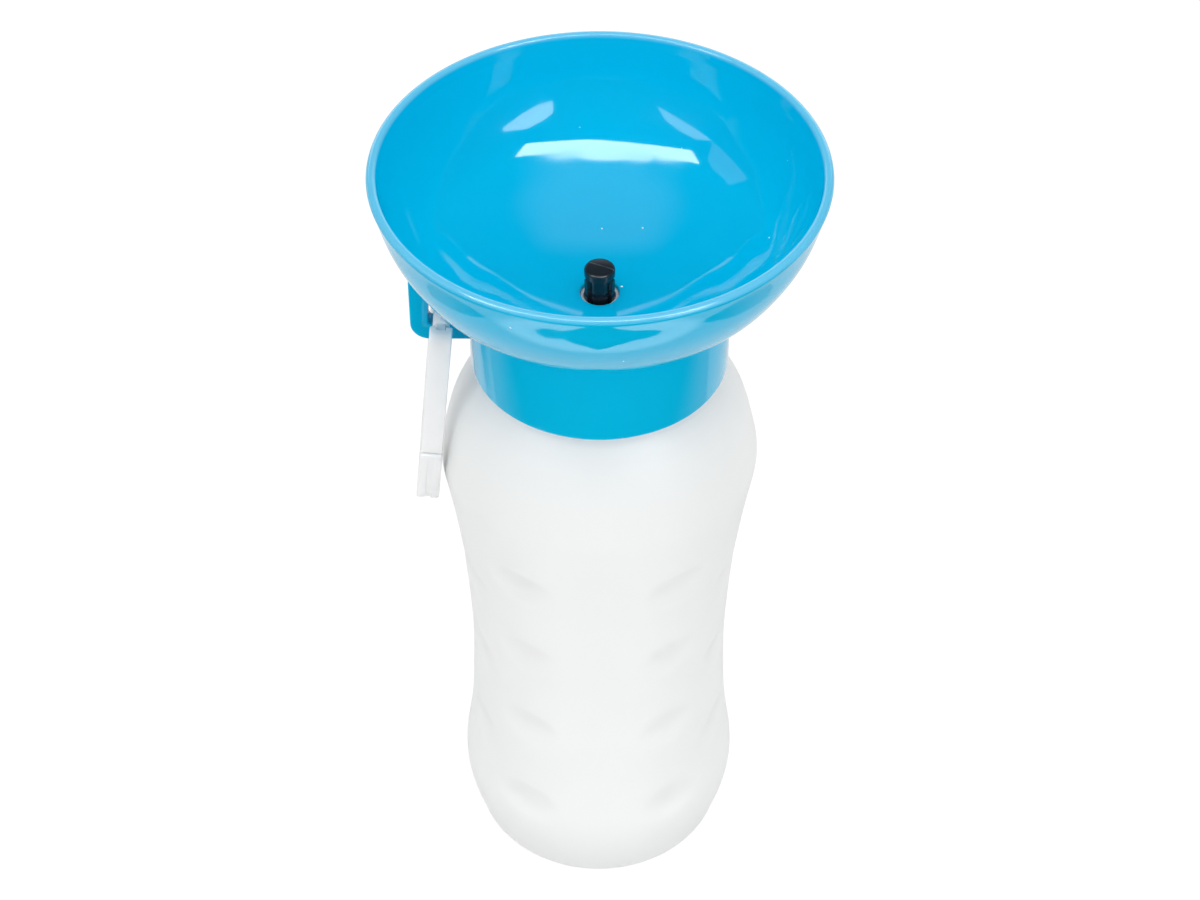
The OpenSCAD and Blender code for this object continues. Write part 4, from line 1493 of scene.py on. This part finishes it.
@dataclass
class SnapHook:
    """The white snap hook with its sprung gate, which leans on the bottle's shoulder."""

    place: Point = (-40.3, 187.4)
    lean: float = 5.593
    length: float = 62.4
    width: float = 26.4
    thickness: float = 6.0
    leg_w: float = 4.7
    gate_len: float = 38.0
    gate_t: float = 5.8
    ear_t: float = 5.0
    pin_r: float = 1.0
    edge: float = 0.55
    channel_w: float = 1.6
    channel_d: float = 0.35
    nose_edge: float = 1.1
    nose_w: float = 2.1
    nose_drop: float = 0.3
    foot_bend_r: float = 10.0
    shoulder_gap: float = 2.5
    corner_gap: float = 0.2
    bar_slack: float = 0.15
    bar_gap: float = 0.3
    bar_low_gap: float = 0.2
    bar_sunk: float = 1.2
    bar_round: float = 0.3
    knuckle_r: float = 2.9
    face_in: float = 0.8
    lap: float = 2.6
    tongue_t: float = 2.2
    tongue_in: float = 0.6
    tongue_sunk: float = 2.0
    tongue_top_in: float = 1.0
    tongue_low_in: float = 0.8
    tongue_foot: float = 0.2
    tongue_edge: float = 0.25
    gate_edge: float = 0.45
    gate_slim: float = 0.3
    gate_tip: Point = (0.2, 0.1)
    gate_tip_w: float = 2.2
    gate_bend_drop: float = 3.5
    lap_gap: float = 0.5
    slot_drop: float = 2.0
    slot_foot: float = 5.0
    pin_edge: float = 0.2
    pin_short: float = 0.2
    pin_gap: float = 0.05
    gate_pin_gap: float = 0.06
    cheek_gap: float = 0.15
    web: float = 1.3
    spring_r: float = 0.95
    wire_r: float = 0.2
    spring_turns: float = 8.0
    spring_len: float = 9.0
    spring_gap: float = 0.15
    spring_drop: float = 4.6

    def __post_init__(self) -> None:
        """Works out the places in the hook's own plane, where the round bar's axis is the origin."""
        self.half = self.width / 2
        self.top = self.leg_w / 2
        self.bottom = self.top - self.length
        self.inside = self.half - self.leg_w
        self.face = -self.half + self.face_in
        self.pin = (self.face + self.knuckle_r, self.top - self.knuckle_r)
        self.tip = self.pin[1] - self.gate_len
        self.shoulder = self.ear_t / 2 + self.shoulder_gap
        self.tongue_r = self.knuckle_r - self.tongue_in
        self.bar_end = self.pin[0] + self.knuckle_r + self.bar_gap
        x, z = self.place
        tilt = Matrix.Rotation(math.radians(self.lean), 4, "Y")
        self.frame = Matrix.Translation((x * MM, 0, z * MM)) @ tilt

    def along_y(self, thing: bpy.types.Object) -> bpy.types.Object:
        """Turns a rod from +Z to +Y."""
        return set_down(thing, Matrix.Rotation(math.radians(-90), 4, "X"))

    def pin_rod(self, name: str, radius: float, length: float, edge: float = 0.0) -> bpy.types.Object:
        """Makes a rod across the hook at the gate's hinge.

        Args:
            name: name of the piece.
            radius: its radius.
            length: its length.
            edge: radius of the round edges at its ends.

        Returns:
            The rod.
        """
        y, z = self.pin
        return set_down(rod(name, radius, -length / 2, length / 2, edge),
                        Matrix.Translation((0, y * MM, z * MM)), Matrix.Rotation(math.radians(90), 4, "Y"))

    def outline(self) -> tuple[Outline, set[int]]:
        """Draws the body's outline.

        Returns:
            The outline, and the places in it where the channel runs.
        """
        back_r = self.half - self.shoulder - self.corner_gap
        bend = self.foot_bend_r
        back = (self.half - back_r, self.top - back_r)
        right, left = (self.half - bend, self.bottom + bend), (-self.half + bend, self.bottom + bend)
        nose_in, nose_z = -self.half + self.nose_w, self.tip - self.nose_drop
        nose = [(-self.inside, self.tip - self.lap), (nose_in, self.tip - self.lap), (nose_in, nose_z)]
        nose += arc((-self.half + self.nose_edge, nose_z - self.nose_edge), self.nose_edge, 90, 180, 6)
        parts = [(arc(back, back_r, 0, 90, 12)[:-1] + [(self.shoulder, self.top)], True),
                 ([(self.shoulder, self.top - self.leg_w)], False),
                 (arc(back, back_r - self.leg_w, 90, 0, 8)[1:], False),
                 (arc(right, bend - self.leg_w, 0, -90, 12), False),
                 (arc(left, bend - self.leg_w, -90, -180, 12), False),
                 (nose, False),
                 (arc(left, bend, 180, 270, 18) + arc(right, bend, 270, 360, 18), True)]
        points = [p for part, _ in parts for p in part]
        flags = [rim for part, rim in parts for _ in part]
        return points, {i for i, rim in enumerate(flags) if rim}

    def body(self) -> bpy.types.Object:
        """Makes the body with its round bar and the tongue that carries the gate.

        Returns:
            The body in the hook's own plane.
        """
        outline, rim = self.outline()
        layers = slices(self.thickness, self.edge, self.channel_w, self.channel_d)
        piece = plate("hook_frame", outline, layers, rim)
        bar = self.along_y(rod("bar", self.top - self.bar_slack, self.bar_end + self.bar_low_gap,
                               self.shoulder + self.bar_sunk, self.bar_round))
        y, z = self.pin
        root = self.bar_end + self.tongue_sunk
        tongue_line = [(root, self.top - self.tongue_top_in)] + arc(self.pin, self.tongue_r, 90, 200, 14) + [
            (y, z - self.tongue_r + self.tongue_foot), (root, self.tongue_low_in - self.top)]
        tongue = plate("tongue", tongue_line, slices(self.tongue_t, self.tongue_edge))
        piece = worked(piece, Join.ADD, bar, tongue)
        bore = self.pin_rod("hinge_bore", self.pin_r + self.pin_gap, self.thickness + 2 * OVERSHOOT)
        return worked(piece, Join.CUT, bore)

    def gate(self) -> bpy.types.Object:
        """Makes the gate with its two cheeks, and the slot for the tongue and spring.

        Returns:
            The gate in the hook's own plane.
        """
        y, z = self.pin
        inner = self.face + self.leg_w - self.gate_slim
        foot = self.tip - self.lap + self.lap_gap
        step = self.face + self.gate_tip_w
        tip_in, tip_out = self.gate_tip
        outline = arc(self.pin, self.knuckle_r, -10, 180, 20) + [
            (self.face, self.tip + tip_out), (self.face + tip_in, self.tip - tip_out),
            (step, self.tip - tip_out), (step, foot), (inner, foot), (inner, z - self.gate_bend_drop)]
        piece = plate("hook_gate_body", outline, slices(self.gate_t, self.gate_edge))
        slot = self.tongue_t + 2 * self.cheek_gap
        far = y + 2 * self.knuckle_r
        web, slot_z, over = self.face + self.web, self.tip + self.slot_foot, self.top + OVERSHOOT
        slot_line = arc(self.pin, self.tongue_r + self.cheek_gap, 90, 190, 14) + [
            (web, z - self.slot_drop), (web, slot_z), (far, slot_z), (far, over), (y, over)]
        slot_cut = plate("slot", slot_line, [Slice(-slot / 2), Slice(slot / 2)])
        bore = self.pin_rod("gate_bore", self.pin_r + self.gate_pin_gap, self.thickness + 2 * OVERSHOOT)
        return worked(piece, Join.CUT, slot_cut, bore)

    def build(self) -> None:
        """Builds the hook's four pieces and puts them on the ear."""
        body = set_down(smoothed(self.body()), self.frame)
        settle(body, Body.HOOK, "white_plastic", "hook_body")
        pin = self.pin_rod("hinge_pin", self.pin_r, self.gate_t - self.pin_short, self.pin_edge)
        settle(set_down(smoothed(pin), self.frame), Body.HOOK, "steel", "gate_pin")
        spring_y = self.face + self.web + self.spring_r + self.wire_r + self.spring_gap
        spring = coil("closing_spring", self.spring_r, self.wire_r, self.spring_turns, self.spring_len,
                      Finishes.get("steel"))
        spring_z = self.pin[1] - self.spring_drop
        set_down(spring, self.frame, Matrix.Translation((0, spring_y * MM, spring_z * MM)))
        settle(spring, Body.HOOK, "steel", "gate_spring")
        gate = set_down(smoothed(self.gate()), self.frame)
        settle(gate, Body.GATE, "white_plastic", "hook_gate")


# The studio

class Reach(Enum):
    """What a light panel does: show in the object's gloss, or light the object."""

    GLOSS = (False, True)
    SOFT = (True, False)


@dataclass(frozen=True)
class Panel:
    """A soft light panel that faces the bottle.

    Its turn is from +Y towards +X and its height from the floor's plane, in degrees.
    """

    name: str
    turn: float
    height: float
    width: float
    depth: float
    radiance: float
    reach: Reach
    distance: float = 1.2

    def hang(self, target: Vector) -> None:
        """Hangs the panel in the scene.

        Args:
            target: the point that it faces.
        """
        turn, rise = math.radians(self.turn), math.radians(self.height)
        away = Vector((math.sin(turn) * math.cos(rise), math.cos(turn) * math.cos(rise), math.sin(rise)))
        lamp = bpy.data.lights.new(self.name, "AREA")
        lamp.shape = "RECTANGLE"
        lamp.size, lamp.size_y = self.width, self.depth
        lamp.energy = self.radiance * math.pi * self.width * self.depth
        made = new_object(self.name, lamp)
        made.visible_camera = False
        made.visible_diffuse, made.visible_glossy = self.reach.value
        facing = away.to_track_quat("Z", "Y").to_matrix().to_4x4()
        made.matrix_world = Matrix.Translation(target + away * self.distance) @ facing


def glowing(name: str, line: list[tuple[float, float, float]]) -> Graph:
    """Makes a flat piece of the studio that only shows in the gloss of the object.

    Args:
        name: name of the piece and of its material.
        line: its corners, in metres.

    Returns:
        The empty graph of its material.
    """
    mesh = bpy.data.meshes.new(name)
    mesh.from_pydata(line, [], [tuple(range(len(line)))])
    made = new_object(name, mesh)
    made.visible_camera = made.visible_diffuse = made.visible_shadow = False
    made.visible_transmission = made.visible_volume_scatter = False
    material = bpy.data.materials.new(name)
    mesh.materials.append(material)
    return Graph.emptied(material)


@dataclass(frozen=True)
class Card:
    """A light card whose outline shows in the gloss of the bowl.

    It lies square to one axis, 0 for X to 2 for Z, at a place on that axis, and all its places are
    metres.
    """

    name: str
    axis: int
    place: float
    outline: tuple[Point, ...]
    radiance: float

    def hang(self) -> None:
        """Hangs the card in the scene."""
        line = [(*point[:self.axis], self.place, *point[self.axis:]) for point in self.outline]
        graph = glowing(self.name, line)
        graph.node("ShaderNodeOutputMaterial", {"Surface": graph.glow(self.radiance)})


@dataclass
class Studio:
    """Camera, floor, world, light panels and light cards. Its places are metres."""

    eye: Vector = field(default_factory=lambda: Vector((0.0, -0.539086, 0.660650)))
    aim: Vector = field(default_factory=lambda: Vector((0.0002, 0.0, 0.1383675)))
    lens: float = 84.0
    sensor: float = 36.0
    roll: float = 0.16
    clip: tuple[float, float] = (0.01, 50.0)
    middle: Vector = field(default_factory=lambda: Vector((0.0, 0.0, 0.2)))
    floor_half: float = 4.0
    floor_z: float = -0.0003
    floor_shown: float = 0.94
    floor_soft: float = 0.72
    floor_shadow: float = 0.1
    floor_gloss: tuple[float, float] = (2.0, 0.75)
    floor_gloss_y: tuple[float, float] = (-0.1, -0.065)
    ambient: float = 0.75
    dark_room: float = 0.02
    dark_room_z: float = 0.001
    dark_room_back: float = 0.5
    dark_room_y: tuple[float, float] = (-0.08, 0.04)
    horizon: float = 0.05
    ceiling: float = 0.72
    ceiling_rise: tuple[float, float] = (0.8, 0.96)
    table_edge: tuple[Point, ...] = (
        (-0.17, 0.06), (-0.162, 0.0), (-0.155, -0.05), (-0.135, -0.1), (-0.105, -0.122), (-0.075, -0.118),
        (-0.05, -0.13), (-0.016, -0.112), (-0.002, -0.097), (0.023, -0.118), (0.048, -0.127), (0.079, -0.122),
        (0.105, -0.12), (0.13, -0.1), (0.15, -0.05), (0.158, 0.0), (0.17, 0.06))
    panels: tuple[Panel, ...] = (
        Panel("overhead_box", 0.0, 88.0, 0.9, 0.9, 2.2, Reach.SOFT),
        Panel("back_wall", 0.0, 17.5, 1.7, 0.74, 1.6, Reach.GLOSS),
        Panel("front_right_box", 137.0, 24.0, 0.66, 0.3, 4.5, Reach.SOFT),
        Panel("front_left_box", 223.0, 24.0, 0.66, 0.3, 4.5, Reach.SOFT),
    )
    cards: tuple[Card, ...] = (
        Card("overhead_strip", 2, 1.2, (
            (0.683, -0.227), (0.838, -0.66), (0.384, -0.579), (0.121, -0.573), (-0.109, -0.519),
            (-0.346, -0.476), (-0.612, -0.48), (-1.049, -0.519), (-0.818, -0.116), (-0.598, -0.185),
            (-0.412, -0.28), (-0.193, -0.34), (-0.035, -0.35), (0.182, -0.35), (0.362, -0.302),
            (0.494, -0.262)), 13.5),
        Card("right_card", 1, -1.0, (
            (1.56, 0.966), (1.554, 1.092), (1.009, 1.094), (0.665, 0.897), (0.505, 0.741), (0.481, 0.592),
            (0.653, 0.608), (0.977, 0.704)), 6.0),
        Card("left_card", 1, -0.8, (
            (-0.505, 0.554), (-0.723, 0.633), (-1.168, 0.818), (-1.989, 1.168), (-1.387, 1.149),
            (-0.948, 0.96), (-0.666, 0.768)), 3.4),
        Card("side_card", 0, -1.0, (
            (-0.386, 0.705), (-0.128, 0.671), (0.174, 0.613), (0.25, 1.115), (-0.036, 1.216),
            (-0.222, 1.07)), 1.0),
    )

    def camera(self) -> None:
        """Sets the camera at the photograph's viewing angle."""
        data = bpy.data.cameras.new("camera")
        data.lens, data.sensor_width = self.lens, self.sensor
        data.clip_start, data.clip_end = self.clip
        made = new_object("camera", data)
        facing = (self.eye - self.aim).to_track_quat("Z", "Y").to_matrix().to_4x4()
        made.matrix_world = (Matrix.Translation(self.eye) @ facing
                             @ Matrix.Rotation(math.radians(self.roll), 4, "Z"))
        bpy.context.scene.camera = made

    def seen(self, graph: Graph) -> bpy.types.NodeSocket:
        """Tells the rays that see the background: camera, glossy and transmission rays.

        Args:
            graph: the tree that asks.

        Returns:
            1 for those rays, and 0 for the others.
        """
        path = graph.node("ShaderNodeLightPath").outputs
        rays = graph.math("ADD", path["Is Camera Ray"], path["Is Glossy Ray"])
        return graph.math("ADD", rays, path["Is Transmission Ray"], clamp=True)

    def floor(self) -> None:
        """Lays the pale floor, which keeps a faint shadow."""
        half, z = self.floor_half, self.floor_z
        mesh = bpy.data.meshes.new("floor")
        mesh.from_pydata([(-half, -half, z), (half, -half, z), (half, half, z), (-half, half, z)], [],
                         [(0, 1, 2, 3)])
        made = new_object("floor", mesh)
        material = bpy.data.materials.new("pale_floor")
        graph = Graph.emptied(material)
        plain = graph.node("ShaderNodeBsdfDiffuse", {"Color": (*[self.floor_soft] * 3, 1.0)})
        faint = graph.node("ShaderNodeBsdfDiffuse", {"Color": (*[self.floor_shadow] * 3, 1.0)})
        along = graph.ramp(graph.part(graph.place(), 1), *self.floor_gloss_y, *self.floor_gloss)
        gloss = graph.node("ShaderNodeLightPath").outputs["Is Glossy Ray"]
        level = graph.node("ShaderNodeMix", {0: gloss, 2: self.floor_shown, 3: along}).outputs[0]
        white = graph.node("ShaderNodeAddShader", {0: faint.outputs[0], 1: graph.glow(level)})
        mix = graph.node("ShaderNodeMixShader", {0: self.seen(graph), 1: plain.outputs[0],
                                                 2: white.outputs[0]})
        graph.node("ShaderNodeOutputMaterial", {"Surface": mix.outputs[0]})
        mesh.materials.append(material)

    def room(self) -> None:
        """Lays the dark room past the table's edge, which only shows in the gloss of the object."""
        far, back = self.floor_half, self.table_edge[0][1]
        outline = [(-far, back), (-far, -far), (far, -far), (far, back)] + list(reversed(self.table_edge))
        graph = glowing("dark_room", [(x, y, self.dark_room_z) for x, y in outline])
        level = graph.ramp(graph.part(graph.place(), 1), *self.dark_room_y, self.dark_room,
                           self.dark_room_back)
        graph.node("ShaderNodeOutputMaterial", {"Surface": graph.glow(level)})

    def world(self) -> None:
        """Makes the world.

        It is white to look at and gives even soft light. In gloss it is a dark room with a pale horizon
        and ceiling.
        """
        world = bpy.data.worlds.new("studio")
        graph = Graph.emptied(world)
        rise = graph.part(graph.node("ShaderNodeTexCoord").outputs["Generated"], 2)
        camera = graph.node("ShaderNodeLightPath").outputs["Is Camera Ray"]
        level = graph.math("ADD", graph.ramp(rise, 0.0, self.horizon, 1.0, self.dark_room),
                           graph.ramp(rise, *self.ceiling_rise, 0.0, self.ceiling))
        level = graph.math("MAXIMUM", level, camera)
        shown = graph.node("ShaderNodeBackground", {"Color": WHITE, "Strength": level})
        soft = graph.node("ShaderNodeBackground", {"Color": WHITE, "Strength": self.ambient})
        mix = graph.node("ShaderNodeMixShader", {0: self.seen(graph), 1: soft.outputs[0],
                                                 2: shown.outputs[0]})
        graph.node("ShaderNodeOutputWorld", {"Surface": mix.outputs[0]})
        bpy.context.scene.world = world

    def build(self) -> None:
        """Sets up the studio."""
        self.camera()
        self.floor()
        self.room()
        self.world()
        for panel in self.panels:
            panel.hang(self.middle)
        for card in self.cards:
            card.hang()
        bpy.context.scene.view_settings.view_transform = "Standard"


def main() -> None:
    """Builds the bottle, its cap, valve and hook, and the studio round them."""
    logging.basicConfig(level=logging.INFO, format="%(name)s: %(message)s")
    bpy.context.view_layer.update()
    bottle = SqueezeBottle()
    cap = Cap(bottle)
    bottle.build()
    cap.build()
    Valve(cap.bowl.floor_z).build()
    SnapHook().build()
    Studio().build()


if __name__ == "__main__":
    main()
